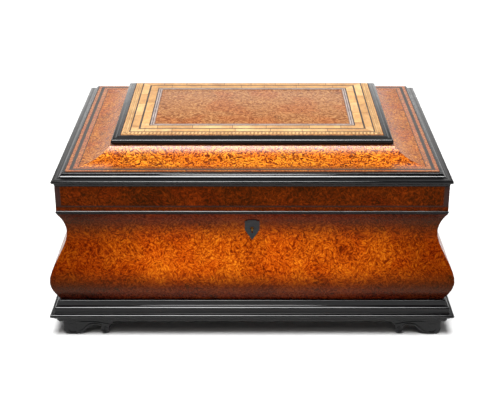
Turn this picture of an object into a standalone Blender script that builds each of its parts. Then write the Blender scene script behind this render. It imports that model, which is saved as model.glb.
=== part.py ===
"""Cylinder music box in a bombe case: veneered walls, sarcophagus lid and a lever-wound movement.

Metres, +Z up. The origin is on the floor under the middle of the case, the front faces -Y.
Angles in the YZ plane run from +Y towards +Z, so they grow with a right-hand turn about +X.
"""

import math

import bmesh
import bpy
from mathutils import Vector

# ---------------------------------------------------------------- driving dimensions

GAP = 0.0003                  # clearance between pieces that rest on each other
FIT = 0.00015                 # radial clearance of a shaft in its bore

HALF_X = 0.3543               # half width of the case at the lid frieze
HALF_Y = 0.2656               # half depth at the same place
INNER = -0.0303               # inner face of the case walls, as an offset from those halves

FOOT_TOP = 0.0292
BASE_LOW = FOOT_TOP + GAP
BASE_TOP = 0.0736
WALL_LOW = BASE_TOP + GAP
WALL_TOP = 0.2470
WAIST_Z = 0.2050
BULGE_Z = 0.1175
WALL_TOP_OFFSET = 0.0002
WAIST_OFFSET = -0.0136
BULGE_OFFSET = 0.0187
WALL_LOW_OFFSET = 0.0027
RIM_LOW = WALL_TOP + GAP
RIM_TOP = 0.2537
LID_LOW = RIM_TOP + GAP
FRIEZE_TOP = 0.3015
BORDER_Z = 0.3237             # flat veneered border just inside the lid moulding
BORDER_IN = -0.0393           # inner edge of that border
SLOPE_TOP = 0.3455
SLOPE_HEAD = -0.0910          # top of the hollow slope, under the upper moulding
PANEL_OFFSET = -0.1096        # edge of the top panel
PANEL_TOP = 0.3600

FLOOR_Z = 0.0600              # top of the bottom board
BED_LOW = 0.1140
BED_TOP = 0.1220
AXIS_Z = 0.1740               # height of the cylinder and of the spring barrel
CYLINDER_Y = 0.0150
CYLINDER_R = 0.0415
CYLINDER_X = (-0.1085, 0.1865)
CYLINDER_SHIFT = 0.0032

LEVER_WALL_X = (-0.2490, -0.2410)
CONTROL_WALL_X = (0.2610, 0.2690)
DIVIDER_TOP = 0.2350

GREAT_TEETH, GREAT_MODULE, GREAT_X = 60, 0.0013, (0.2000, 0.2040)
FIRST_PINION_TEETH = 12
FIRST_TEETH, FIRST_MODULE, FIRST_X = 40, 0.0011, (0.2125, 0.2150)
SECOND_PINION_TEETH = 10
WORM_TEETH, WORM_MODULE, WORM_X = 24, 0.0008, (0.2198, 0.2218)
WORM_PITCH_R = 0.0024
BARREL_TEETH, BARREL_MODULE, BARREL_X = 48, 0.0020, (-0.1335, -0.1275)
BARREL_PINION_TEETH = 15
ADDENDUM, DEDENDUM = 0.82, 1.15
TIP_SHARE, ROOT_SHARE = 0.20, 0.56
BACKLASH = 0.0001

RATCHET_X = (-0.2640, -0.2580)
RATCHET_R = 0.0170
LEVER_X = (-0.2760, -0.2680)
LEVER_ANGLE = 172.0
LEVER_LENGTH = 0.1100

FIRST_DROP = 0.0120           # how far each governor arbor lies below the one before it
SECOND_DROP = 0.0040

COMB_TEETH = 64
COMB_X = (-0.1045, 0.1835)
COMB_Z = (0.1725, 0.1750)
COMB_TIP_Y = CYLINDER_Y - CYLINDER_R - 0.0015
COMB_BACK_Y = -0.1000

HINGE_Y = 0.2715
HINGE_Z = RIM_TOP + GAP / 2
HINGE_PLATE = 0.0015          # thickness of the leaves
LEAF_INSET = 0.0002           # how far each leaf lies below the wood that it is let into
HINGE_CENTRES_X = {"left": -0.2100, "right": 0.2100}
HINGE_LENGTH = 0.0600
KNUCKLE_R = 0.0032
PIN_R = 0.0014

INNER_LID_X = (-0.2475, 0.2675)
INNER_LID_Y = (-0.2343, 0.2343)
INNER_LID_Z = (0.2354, 0.2474)

KEYHOLE_Z = 0.2135

CONTROL_ROD_Y, CONTROL_ROD_Z = -0.0300, 0.1980

ROUND_SIDES = 20


def pitch_radius(teeth, module):
    return teeth * module / 2


def arbor_in_front(y, z, distance, drop):
    """Centre of an arbor that lies in front of another one and a little lower."""
    return y - math.sqrt(distance ** 2 - drop ** 2), z - drop


BARREL_Y = (
    CYLINDER_Y
    + pitch_radius(BARREL_TEETH, BARREL_MODULE)
    + pitch_radius(BARREL_PINION_TEETH, BARREL_MODULE)
    + BACKLASH
)
FIRST_Y, FIRST_Z = arbor_in_front(
    CYLINDER_Y,
    AXIS_Z,
    pitch_radius(GREAT_TEETH + FIRST_PINION_TEETH, GREAT_MODULE) + BACKLASH,
    FIRST_DROP,
)
SECOND_Y, SECOND_Z = arbor_in_front(
    FIRST_Y,
    FIRST_Z,
    pitch_radius(FIRST_TEETH + SECOND_PINION_TEETH, FIRST_MODULE) + BACKLASH,
    SECOND_DROP,
)
ENDLESS_X = (WORM_X[0] + WORM_X[1]) / 2
ENDLESS_Y = SECOND_Y - pitch_radius(WORM_TEETH, WORM_MODULE) - WORM_PITCH_R - BACKLASH

# ---------------------------------------------------------------- scene and finishes


def clear_scene():
    for obj in list(bpy.data.objects):
        bpy.data.objects.remove(obj, do_unlink=True)


def new_collection(name):
    collection = bpy.data.collections.new(name)
    bpy.context.scene.collection.children.link(collection)
    return collection


def finish(name, colour, roughness, metallic=0.0):
    made = bpy.data.materials.new(name)
    made.use_nodes = True
    shader = made.node_tree.nodes["Principled BSDF"]
    shader.inputs["Base Color"].default_value = (*colour, 1.0)
    shader.inputs["Roughness"].default_value = roughness
    shader.inputs["Metallic"].default_value = metallic
    return made


clear_scene()
MODEL = new_collection("cylinder_music_box")
CUTTERS = new_collection("cutters")

FINISHES = {
    "burl": finish("burl_veneer", (0.42, 0.13, 0.03), 0.22),
    "dark_burl": finish("dark_burl_veneer", (0.20, 0.05, 0.02), 0.22),
    "panel": finish("pale_burl_panel", (0.50, 0.26, 0.13), 0.32),
    "ebonised": finish("ebonised_wood", (0.02, 0.015, 0.012), 0.25),
    "pine": finish("carcase_wood", (0.32, 0.17, 0.08), 0.6),
    "brass": finish("brass", (0.72, 0.50, 0.20), 0.3, 1.0),
    "steel": finish("steel", (0.50, 0.50, 0.52), 0.3, 1.0),
    "blued": finish("blued_steel", (0.05, 0.07, 0.16), 0.3, 1.0),
    "iron": finish("gilt_iron", (0.45, 0.33, 0.14), 0.45, 0.9),
    "glass": finish("glass", (0.85, 0.92, 0.90), 0.05),
}

# ---------------------------------------------------------------- modelling helpers


def place(mesh, name, finish_name, location=(0, 0, 0), rotation=(0, 0, 0)):
    """Make a named object of a mesh, in the model's collection."""
    obj = bpy.data.objects.new(name, mesh)
    obj.location = location
    obj.rotation_euler = rotation
    mesh.materials.append(FINISHES[finish_name])
    MODEL.objects.link(obj)
    return obj


def as_tool(obj):
    """Turn an object into a cutter or a joined-on shape, which isn't a piece of its own."""
    MODEL.objects.unlink(obj)
    CUTTERS.objects.link(obj)
    obj.hide_render = True
    obj.display_type = "WIRE"
    return obj


def boolean(target, tool, operation):
    step = target.modifiers.new(operation.lower(), "BOOLEAN")
    step.operation = operation
    step.solver = "EXACT"
    step.object = as_tool(tool)
    return target


def cut(target, tool):
    return boolean(target, tool, "DIFFERENCE")


def join(target, tool):
    return boolean(target, tool, "UNION")


def box(name, low, high, finish_name, bevel=0.0):
    low, high = Vector(low), Vector(high)
    shape = bmesh.new()
    bmesh.ops.create_cube(shape, size=1.0)
    bmesh.ops.scale(shape, vec=high - low, verts=shape.verts)
    mesh = bpy.data.meshes.new(name)
    shape.to_mesh(mesh)
    shape.free()
    obj = place(mesh, name, finish_name, (low + high) / 2)
    if bevel:
        edge = obj.modifiers.new("rounded_edges", "BEVEL")
        edge.width = bevel
        edge.segments = 2
    return obj


AXES = {"X": (0, math.pi / 2, 0), "Y": (-math.pi / 2, 0, 0), "Z": (0, 0, 0)}


def turned(name, profile, centre, axis, finish_name, sides=ROUND_SIDES, closed=False):
    """Turn a profile of (radius, height) points, top to bottom, about an axis through centre."""
    mesh = bpy.data.meshes.new(name)
    points = [(radius, 0, height) for radius, height in profile]
    edges = [(i, i + 1) for i in range(len(points) - 1)]
    if closed:
        edges.append((len(points) - 1, 0))
    mesh.from_pydata(points, edges, [])
    obj = place(mesh, name, finish_name, centre, AXES[axis])
    screw = obj.modifiers.new("turn", "SCREW")
    screw.steps = sides
    screw.render_steps = sides
    screw.use_merge_vertices = True
    screw.merge_threshold = 0.00001
    screw.use_smooth_shade = True
    return obj


def rod(name, radius, low, high, centre, axis, finish_name, sides=ROUND_SIDES):
    """A plain shaft between two stations on its axis."""
    profile = [(0, high), (radius, high), (radius, low), (0, low)]
    return turned(name, profile, centre, axis, finish_name, sides)


def sleeve(name, outer, inner, low, high, centre, axis, finish_name, sides=ROUND_SIDES):
    """A plain tube between two stations on its axis."""
    profile = [(outer, high), (outer, low), (inner, low), (inner, high)]
    return turned(name, profile, centre, axis, finish_name, sides, closed=True)


FACINGS = {"X": (math.pi / 2, 0, math.pi / 2), "Y": (math.pi / 2, 0, 0), "Z": (0, 0, 0)}


def plate(name, outlines, thickness, centre, facing, finish_name):
    """A flat outline with holes, extruded along the axis that it faces, as a welded mesh.

    The outline's own plane is YZ when it faces X, XZ when it faces Y and XY when it faces Z.
    """
    curve = bpy.data.curves.new(name, "CURVE")
    curve.dimensions = "2D"
    curve.fill_mode = "BOTH"
    curve.extrude = thickness / 2
    for outline in outlines:
        spline = curve.splines.new("POLY")
        spline.points.add(len(outline) - 1)
        for point, (across, up) in zip(spline.points, outline):
            point.co = (across, up, 0, 1)
        spline.use_cyclic_u = True
    flat = bpy.data.objects.new(name, curve)
    MODEL.objects.link(flat)
    graph = bpy.context.evaluated_depsgraph_get()
    mesh = bpy.data.meshes.new_from_object(flat.evaluated_get(graph))
    bpy.data.objects.remove(flat, do_unlink=True)
    shape = bmesh.new()
    shape.from_mesh(mesh)
    bmesh.ops.remove_doubles(shape, verts=shape.verts, dist=0.000001)
    bmesh.ops.recalc_face_normals(shape, faces=shape.faces)
    shape.to_mesh(mesh)
    shape.free()
    mesh.name = name
    return place(mesh, name, finish_name, centre, FACINGS[facing])


def mesh_of(name, points, faces):
    """A mesh of a lofted shape, with its faces turned outward."""
    mesh = bpy.data.meshes.new(name)
    mesh.from_pydata(points, [], faces)
    shape = bmesh.new()
    shape.from_mesh(mesh)
    bmesh.ops.recalc_face_normals(shape, faces=shape.faces)
    shape.to_mesh(mesh)
    shape.free()
    return mesh


CORNERS = ((-1, -1), (1, -1), (1, 1), (-1, 1))


def corner(index, offset, z, half_x, half_y, centre):
    sign_x, sign_y = CORNERS[index % 4]
    return Vector((centre[0] + sign_x * (half_x + offset), centre[1] + sign_y * (half_y + offset), z))


def mitred_ring(name, profile, finish_name, half_x=HALF_X, half_y=HALF_Y, centre=(0, 0)):
    """A closed profile of (offset, height) points carried round a rectangle with mitred corners."""
    points = [
        corner(index, offset, z, half_x, half_y, centre)
        for offset, z in profile
        for index in range(4)
    ]
    count = len(profile)
    faces = [
        (4 * i + k, 4 * i + (k + 1) % 4, 4 * ((i + 1) % count) + (k + 1) % 4, 4 * ((i + 1) % count) + k)
        for i in range(count)
        for k in range(4)
    ]
    return place(mesh_of(name, points, faces), name, finish_name)


def mitred_side(name, profile, side, finish_name):
    """One side of the case: the profile carried along it, with a mitre at each end."""
    points = []
    for offset, z in profile:
        start = corner(side, offset, z, HALF_X, HALF_Y, (0, 0))
        end = corner(side + 1, offset, z, HALF_X, HALF_Y, (0, 0))
        along = (end - start).normalized() * GAP / 2
        points += [start + along, end - along]
    count = len(profile)
    faces = [
        (2 * i, 2 * i + 1, 2 * ((i + 1) % count) + 1, 2 * ((i + 1) % count))
        for i in range(count)
    ]
    faces.append(tuple(2 * i for i in range(count)))
    faces.append(tuple(2 * i + 1 for i in reversed(range(count))))
    return place(mesh_of(name, points, faces), name, finish_name)


def arc(centre_x, centre_y, radius, start, end, steps):
    """Points along an arc, angles in degrees."""
    return [
        (
            centre_x + radius * math.cos(math.radians(start + (end - start) * i / steps)),
            centre_y + radius * math.sin(math.radians(start + (end - start) * i / steps)),
        )
        for i in range(steps + 1)
    ]


def circle(centre_x, centre_y, radius, sides):
    return arc(centre_x, centre_y, radius, 0, 360, sides)[:-1]


def polar(radius, degrees, origin=(0.0, 0.0)):
    angle = math.radians(degrees)
    return origin[0] + radius * math.cos(angle), origin[1] + radius * math.sin(angle)


def link_outline(start, start_r, end, end_r, steps=8):
    """A bar with round ends of different sizes."""
    along = math.degrees(math.atan2(end[1] - start[1], end[0] - start[0]))
    length = math.dist(start, end)
    lean = math.degrees(math.acos((start_r - end_r) / length))
    head = arc(start[0], start[1], start_r, along + lean, along + 360 - lean, steps)
    tail = arc(end[0], end[1], end_r, along - lean, along + lean, steps // 2)
    return head + tail


def gear_outline(teeth, module, tooth_at):
    """A wheel's outline with a tooth centred at the angle tooth_at, in degrees."""
    root = module * (teeth / 2 - DEDENDUM)
    tip = module * (teeth / 2 + ADDENDUM)
    step = 360 / teeth
    flank = ((root, -ROOT_SHARE), (tip, -TIP_SHARE), (tip, TIP_SHARE), (root, ROOT_SHARE))
    return [
        polar(radius, tooth_at + step * (i + share / 2))
        for i in range(teeth)
        for radius, share in flank
    ]


def window_outlines(count, inner_r, outer_r, spoke_width, spoke_at, steps=5):
    """The openings between a wheel's spokes, one of which lies at the angle spoke_at."""
    windows = []
    for i in range(count):
        start = spoke_at + 360 * i / count
        end = start + 360 / count
        outer_lean = math.degrees(math.asin(spoke_width / 2 / outer_r))
        inner_lean = math.degrees(math.asin(spoke_width / 2 / inner_r))
        outside = arc(0, 0, outer_r, start + outer_lean, end - outer_lean, steps)
        inside = arc(0, 0, inner_r, end - inner_lean, start + inner_lean, 2)
        windows.append(outside + inside)
    return windows


def middle(span):
    return (span[0] + span[1]) / 2


def width(span):
    return span[1] - span[0]


def line_angle(start, end):
    """Direction in degrees from one arbor to another, in the YZ plane."""
    return math.degrees(math.atan2(end[1] - start[1], end[0] - start[0]))


# ---------------------------------------------------------------- case


def hermite(start, end, start_slope, end_slope, t):
    square, cube = t * t, t * t * t
    return (
        start * (2 * cube - 3 * square + 1)
        + start_slope * (cube - 2 * square + t)
        + end * (3 * square - 2 * cube)
        + end_slope * (cube - square)
    )


def bombe_curve():
    """The outer curve of the walls, top to bottom: flared top, waist, bulge, tucked-in foot."""
    stations = (
        (WALL_TOP, WALL_TOP_OFFSET, -0.62),
        (WAIST_Z, WAIST_OFFSET, 0.0),
        (BULGE_Z, BULGE_OFFSET, 0.0),
        (WALL_LOW, WALL_LOW_OFFSET, -0.58),
    )
    steps = 12
    curve = []
    for (high, outer, slope), (low, inner, next_slope) in zip(stations, stations[1:]):
        drop = high - low
        for i in range(steps):
            t = i / steps
            offset = hermite(outer, inner, slope * drop, next_slope * drop, t)
            curve.append((offset, high - drop * t))
    curve.append((WALL_LOW_OFFSET, WALL_LOW))
    return curve


def wall_profile():
    return bombe_curve() + [(INNER, WALL_LOW), (INNER, WALL_TOP)]


def keyhole_cutter(name, back, front):
    """A round hole with a slot below it, along Y."""
    radius, slot, drop = 0.0033, 0.0014, 0.0095
    meet = math.degrees(math.asin(slot / radius))
    outline = arc(0, 0, radius, -90 + meet, 270 - meet, 16) + [(-slot, -drop), (slot, -drop)]
    return plate(name, [outline], back - front, (0, (back + front) / 2, KEYHOLE_Z), "Y", "steel")


def build_case():
    names = ("case_front", "case_right", "case_back", "case_left")
    walls = {name: mitred_side(name, wall_profile(), i, "burl") for i, name in enumerate(names)}
    front = walls["case_front"]
    cut(front, keyhole_cutter("keyhole_through_wall", -0.2300, -0.2700))
    pocket_low = (-0.0303, -0.2478, 0.1957)
    cut(front, box("lock_pocket", pocket_low, (0.0303, -0.2300, 0.2600), "steel"))

    inner_x, inner_y = HALF_X + INNER, HALF_Y + INNER
    low = (-inner_x + GAP, -inner_y + GAP, 0.0450)
    box("bottom_board", low, (inner_x - GAP, inner_y - GAP, FLOOR_Z), "pine")

    fillet = 0.0019
    base = (
        [(0.0030, BASE_TOP), (0.0060, BASE_TOP)]
        + arc(0.0060, BASE_TOP - fillet, fillet, 70, 0, 3)
        + [(0.0079, 0.0640), (0.0084, 0.0628), (0.0102, 0.0624)]
        + arc(0.0108, 0.0581, 0.0042, 85, 0, 5)
        + [(0.0150, 0.0512), (0.0158, 0.0503), (0.0192, 0.0500)]
        + arc(0.0200, 0.0466, 0.0034, 85, -60, 8)
        + [(0.0174, 0.0435), (0.0170, 0.0402), (0.0156, 0.0388), (0.0112, 0.0383)]
        + [(0.0120, 0.0370), (0.0124, 0.0350), (0.0119, 0.0328), (0.0104, 0.0314), (0.0098, BASE_LOW)]
        + [(INNER, BASE_LOW), (INNER, BASE_TOP)]
    )
    mitred_ring("base_moulding", base, "ebonised")

    bead_radius = 0.0028
    bead = arc(-0.0012, RIM_TOP - bead_radius, bead_radius, 90, -90, 8)
    rim = bead + [(0.0004, RIM_LOW + 0.0006), (0.0004, RIM_LOW), (INNER, RIM_LOW), (INNER, RIM_TOP)]
    ring = mitred_ring("rim_moulding", rim, "ebonised")
    cut(ring, box("lock_slot_in_rim", (-0.0303, -0.2478, 0.2400), (0.0303, -0.2300, 0.2700), "steel"))
    bed_z = RIM_TOP - LEAF_INSET - HINGE_PLATE - GAP
    for side, x in HINGE_CENTRES_X.items():
        half = HINGE_LENGTH / 2 + GAP
        cutter = box(f"{side}_leaf_bed", (x - half, 0.2427, bed_z), (x + half, 0.2800, 0.2700), "steel")
        cut(ring, cutter)


def foot_outline():
    """A bracket foot seen from the front: its corner is at the origin, its scrolls run along +X."""
    heel = [(0.0, FOOT_TOP)] + arc(0.0130, 0.0130, 0.0130, 180, 270, 6)
    rise = [(0.0240, 0.0), (0.0300, 0.0010), (0.0350, 0.0034), (0.0400, 0.0070), (0.0445, 0.0115)]
    neck = [(0.0490, 0.0160), (0.0535, 0.0192), (0.0590, 0.0208), (0.0645, 0.0202)]
    scroll = arc(0.0790, 0.0112, 0.0078, 140, 380, 10)
    return heel + rise + neck + scroll + [(0.0885, 0.0190), (0.0930, 0.0235), (0.0985, FOOT_TOP)]


def build_feet():
    thickness = 0.0240
    outer_x, outer_y = 0.3572, 0.2730
    outline = foot_outline()
    for name, sign_x, sign_y in (
        ("foot_front_left", -1, -1),
        ("foot_front_right", 1, -1),
        ("foot_back_left", -1, 1),
        ("foot_back_right", 1, 1),
    ):
        along_x = [(sign_x * (outer_x - u), z) for u, z in outline]
        along_y = [(sign_y * (outer_y - u), z) for u, z in outline]
        front_y = sign_y * (outer_y - thickness / 2)
        side_x = sign_x * (outer_x - thickness / 2)
        foot = plate(name, [along_x], thickness, (0, front_y, 0), "Y", "ebonised")
        join(foot, plate(f"{name}_return", [along_y], thickness, (side_x, 0, 0), "X", "ebonised"))


def build_dividers():
    inner_y = HALF_Y + INNER - GAP
    top = DIVIDER_TOP
    low_z = FLOOR_Z + GAP
    lever_wall = box(
        "lever_partition", (LEVER_WALL_X[0], -inner_y, low_z), (LEVER_WALL_X[1], inner_y, top), "pine"
    )
    cut(lever_wall, rod("arbor_hole", 0.0056, -0.26, -0.23, (0, BARREL_Y, AXIS_Z), "X", "steel"))
    control_wall = box(
        "control_partition",
        (CONTROL_WALL_X[0], -inner_y, low_z),
        (CONTROL_WALL_X[1], inner_y, top),
        "pine",
    )
    rod_at = (0, CONTROL_ROD_Y, CONTROL_ROD_Z)
    cut(control_wall, rod("control_hole", 0.0048, 0.25, 0.28, rod_at, "X", "steel"))

    right = HALF_X + INNER - GAP
    board = box(
        "control_board",
        (CONTROL_WALL_X[1] + GAP, -inner_y, 0.2200),
        (right, inner_y, 0.2240),
        "dark_burl",
    )
    for name, x in (("start_slot", 0.2860), ("change_slot", 0.3060)):
        low = (x - 0.0027, CONTROL_ROD_Y - 0.0130, 0.2100)
        cut(board, box(name, low, (x + 0.0027, CONTROL_ROD_Y + 0.0130, 0.2300), "steel"))
    rod("control_rod", 0.0022, 0.2125, right, rod_at, "X", "steel", 12)

    for name, y in (("bearer_front", -0.1250), ("bearer_back", 0.1250)):
        box(name, (-0.2320, y - 0.0150, low_z), (0.2500, y + 0.0150, BED_LOW - GAP), "pine", 0.0015)


def build_lock():
    body = box("lock_body", (-0.0300, -0.2475, 0.1960), (0.0300, -0.2355, RIM_TOP - 0.0002), "brass")
    cut(body, box("bolt_channel", (-0.0125, -0.2472, 0.2250), (0.0125, -0.2432, 0.2700), "steel"))
    cut(body, keyhole_cutter("keyhole_in_lock", -0.2400, -0.2600))

    skin_out = [(offset + 0.0014, z) for offset, z in bombe_curve()]
    skin_in = [(offset + GAP, z) for offset, z in reversed(bombe_curve())]
    skin = mitred_side("escutcheon_skin", skin_out + skin_in, 0, "blued")
    half, top, shoulder, point = 0.0135, 0.2331, 0.2106, 0.1906
    shield = [
        (-half * 0.55, top),
        (-half * 0.75, top - 0.0030),
        (-half, top - 0.0025),
        (-half, shoulder),
        (-half * 0.62, shoulder - 0.0085),
        (0.0, point),
        (half * 0.62, shoulder - 0.0085),
        (half, shoulder),
        (half, top - 0.0025),
        (half * 0.75, top - 0.0030),
        (half * 0.55, top),
    ]
    guard = plate("escutcheon", [shield], 0.0300, (0, -0.2600, 0), "Y", "blued")
    boolean(guard, skin, "INTERSECT")
    cut(guard, keyhole_cutter("keyhole_in_escutcheon", -0.2400, -0.2800))

    box("lock_bolt", (-0.0120, -0.2468, 0.2260), (0.0120, -0.2436, RIM_TOP - 0.0010), "steel", 0.0004)


def hinge_leaf(name, x, own, plate_z, with_pin):
    """A leaf with its knuckles: own lists which of the five knuckles belong to it."""
    half = HINGE_LENGTH / 2
    leaf = box(name, (x - half, 0.2430, plate_z[0]), (x + half, 0.2675, plate_z[1]), "brass")
    step = HINGE_LENGTH / 5
    for index in own:
        start = x - half + index * step + GAP / 2
        end = start + step - GAP
        low = (start, 0.2600, plate_z[0])
        neck = box(f"{name}_neck_{index}", low, (end, HINGE_Y, plate_z[1]), "brass")
        join(leaf, neck)
        centre = (0, HINGE_Y, HINGE_Z)
        join(leaf, rod(f"{name}_knuckle_{index}", KNUCKLE_R, start, end, centre, "X", "brass", 12))
    centre = (0, HINGE_Y, HINGE_Z)
    if with_pin:
        join(leaf, rod(f"{name}_pin", PIN_R, x - half - 0.001, x + half + 0.001, centre, "X", "brass", 8))
    else:
        bore = rod(f"{name}_bore", PIN_R + FIT, x - half - 0.01, x + half + 0.01, centre, "X", "brass", 8)
        cut(leaf, bore)
    return leaf


def build_hinges():
    for side, x in HINGE_CENTRES_X.items():
        case_top = RIM_TOP - LEAF_INSET
        lid_low = LID_LOW + LEAF_INSET
        case_z = (case_top - HINGE_PLATE, case_top)
        lid_z = (lid_low, lid_low + HINGE_PLATE)
        hinge_leaf(f"hinge_{side}_case_leaf", x, (0, 2, 4), case_z, True)
        hinge_leaf(f"hinge_{side}_lid_leaf", x, (1, 3), lid_z, False)


# ---------------------------------------------------------------- lid


def build_lid():
    frieze = [
        (0.0, FRIEZE_TOP),
        (0.0, LID_LOW),
        (-0.0240, LID_LOW),
        (-0.0240, FRIEZE_TOP),
    ]
    ring = mitred_ring("lid_frieze", frieze, "dark_burl")
    under_lid = 0.2450
    strike_low, strike_high = LID_LOW + 0.0001, LID_LOW + 0.0012
    strike_top = strike_high + GAP
    leaf_top = LID_LOW + LEAF_INSET + HINGE_PLATE + GAP
    cut(ring, box("strike_bed", (-0.0283, -0.2528, under_lid), (0.0283, -0.2300, strike_top), "steel"))
    cut(ring, box("bolt_mortise", (-0.0130, -0.2475, under_lid), (0.0130, -0.2428, 0.2660), "steel"))
    for side, x in HINGE_CENTRES_X.items():
        half = HINGE_LENGTH / 2 + GAP
        low = (x - half, 0.2427, under_lid)
        cut(ring, box(f"{side}_lid_leaf_bed", low, (x + half, 0.2800, leaf_top), "steel"))

    nose = arc(0.0025, 0.3108, 0.0032, -70, 80, 6)
    cove = arc(-0.0020, 0.3240, 0.0093, 278, 200, 7)
    moulding = (
        [(-0.0172, FRIEZE_TOP + GAP), (0.0006, FRIEZE_TOP + GAP), (0.0010, 0.3062)]
        + nose
        + [(0.0012, 0.3143)]
        + cove
        + [(-0.0122, 0.3212), (-0.0128, 0.3226), (-0.0160, 0.3232), (-0.0172, 0.3224)]
    )
    mitred_ring("lid_moulding", moulding, "ebonised")

    steps = 12
    rise = SLOPE_TOP - 0.0013 - BORDER_Z
    run = BORDER_IN - SLOPE_HEAD
    hollow = [
        (BORDER_IN - run * i / steps, BORDER_Z + rise * (i / steps) ** 2 * (0.55 + 0.45 * i / steps))
        for i in range(1, steps + 1)
    ]
    under = [(offset, z - 0.0125) for offset, z in reversed(hollow)]
    outer = -0.0175
    slope = (
        [(outer, FRIEZE_TOP + GAP), (outer, BORDER_Z), (BORDER_IN, BORDER_Z)]
        + hollow
        + [(SLOPE_HEAD, SLOPE_TOP), (PANEL_OFFSET - 0.0120, SLOPE_TOP)]
        + [(PANEL_OFFSET - 0.0120, SLOPE_TOP - 0.0125)]
        + under
        + [(BORDER_IN + 0.0090, BORDER_Z - 0.0125), (outer - 0.0060, FRIEZE_TOP + GAP)]
    )
    mitred_ring("lid_slope", slope, "burl")

    low = SLOPE_TOP + GAP
    bead_radius = 0.0051
    bead = arc(-0.0974, low + bead_radius + 0.0003, bead_radius, -80, 82, 8)
    upper = (
        [(PANEL_OFFSET + 0.0003, low), (-0.0970, low)]
        + bead
        + [(-0.0984, 0.3569), (-0.1010, 0.3573), (-0.1026, 0.3583), (-0.1060, 0.3588)]
        + [(PANEL_OFFSET + 0.0016, 0.3592), (PANEL_OFFSET + 0.0003, 0.3585)]
    )
    mitred_ring("plateau_moulding", upper, "ebonised")

    edge_x, edge_y = HALF_X + PANEL_OFFSET, HALF_Y + PANEL_OFFSET
    box("top_panel", (-edge_x, -edge_y, low), (edge_x, edge_y, PANEL_TOP), "panel", 0.0004)

    strike = box("strike_plate", (-0.0280, -0.2525, strike_low), (0.0280, -0.2419, strike_high), "brass")
    cut(strike, box("strike_hole", (-0.0126, -0.2472, under_lid), (0.0126, -0.2431, 0.2700), "steel"))


def build_inner_lid():
    centre = (middle(INNER_LID_X), middle(INNER_LID_Y))
    half_x, half_y = width(INNER_LID_X) / 2, width(INNER_LID_Y) / 2
    low, high = INNER_LID_Z
    rail, lip = 0.0220, 0.0050
    profile = [
        (0.0, high - 0.0010),
        (0.0, low),
        (-rail, low),
        (-rail, low + 0.0045),
        (-rail + lip, low + 0.0045),
        (-rail + lip, high - 0.0010),
        (-rail + lip + 0.0010, high),
        (-0.0010, high),
    ]
    mitred_ring("inner_lid_frame", profile, "dark_burl", half_x, half_y, centre)
    pane_x = half_x - rail + lip - GAP
    pane_y = half_y - rail + lip - GAP
    low_corner = (centre[0] - pane_x, centre[1] - pane_y, low + 0.0048)
    box("inner_lid_glass", low_corner, (centre[0] + pane_x, centre[1] + pane_y, low + 0.0073), "glass")
    knob = [(0, 0.0110), (0.0035, 0.0107), (0.0058, 0.0085), (0.0052, 0.0062), (0.0026, 0.0045),
            (0.0026, 0.0020), (0.0055, 0.0012), (0.0055, 0.0), (0, 0.0)]
    knob_at = (centre[0], INNER_LID_Y[0] + 0.0090, high + GAP)
    turned("inner_lid_knob", knob, knob_at, "Z", "brass", 14)


# ---------------------------------------------------------------- movement


def bracket(name, x_span, posts, finish_name="brass"):
    """A bearing standard on the bedplate: each post is (y, bore radius, half width)."""
    piece = None
    foot_top = BED_TOP + 0.0080
    for index, (y, bore, half) in enumerate(posts):
        sides = arc(y, AXIS_Z, half, 0, 180, 12)
        toe = half + 0.006
        left = [(y - half, foot_top), (y - toe, foot_top), (y - toe, BED_TOP + GAP)]
        right = [(y + toe, BED_TOP + GAP), (y + toe, foot_top), (y + half, foot_top)]
        outline = sides + left + right
        hole = circle(y, AXIS_Z, bore, 24)
        node = name if index == 0 else f"{name}_post_{index}"
        post = plate(node, [outline, hole], width(x_span), (middle(x_span), 0, 0), "X", finish_name)
        piece = post if piece is None else join(piece, post)
    if len(posts) > 1:
        low = (x_span[0], posts[0][0], BED_TOP + GAP)
        join(piece, box(f"{name}_web", low, (x_span[1], posts[1][0], foot_top), finish_name))
    return piece


def build_bed():
    box("bedplate", (-0.2320, -0.1400, BED_LOW), (0.2500, 0.1400, BED_TOP), "iron", 0.0015)
    bracket("barrel_bracket", (-0.2220, -0.2140), [(BARREL_Y, 0.0050 + FIT, 0.0140)])
    bracket(
        "centre_bracket",
        (-0.1240, -0.1160),
        [(CYLINDER_Y, 0.0040 + FIT, 0.0120), (BARREL_Y, 0.0050 + FIT, 0.0140)],
    )
    bracket("cylinder_bracket", (0.2080, 0.2140), [(CYLINDER_Y, 0.0040 + FIT, 0.0120)])


def comb_outline():
    """The steel comb from above: a slanting root line and teeth cut to its front edge."""
    pitch = width(COMB_X) / COMB_TEETH
    slot = 0.30 * pitch
    taper = 0.18 * pitch
    points = [(COMB_X[0], COMB_BACK_Y)]
    for i in range(COMB_TEETH):
        left = COMB_X[0] + i * pitch
        root = COMB_TIP_Y - 0.0420 + 0.0180 * i / (COMB_TEETH - 1)
        points += [
            (left + slot / 2, root),
            (left + slot / 2 + taper / 2, COMB_TIP_Y),
            (left + pitch - slot / 2 - taper / 2, COMB_TIP_Y),
            (left + pitch - slot / 2, root),
        ]
    points.append((COMB_X[1], COMB_BACK_Y))
    return points


def build_comb():
    base_low = (COMB_X[0] - 0.0020, COMB_BACK_Y - 0.0060, BED_TOP + GAP)
    base_high = (COMB_X[1] + 0.0020, -0.0760, COMB_Z[0] - GAP)
    box("comb_base", base_low, base_high, "brass", 0.0010)
    plate("comb", [comb_outline()], width(COMB_Z), (0, 0, middle(COMB_Z)), "Z", "steel")


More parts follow.
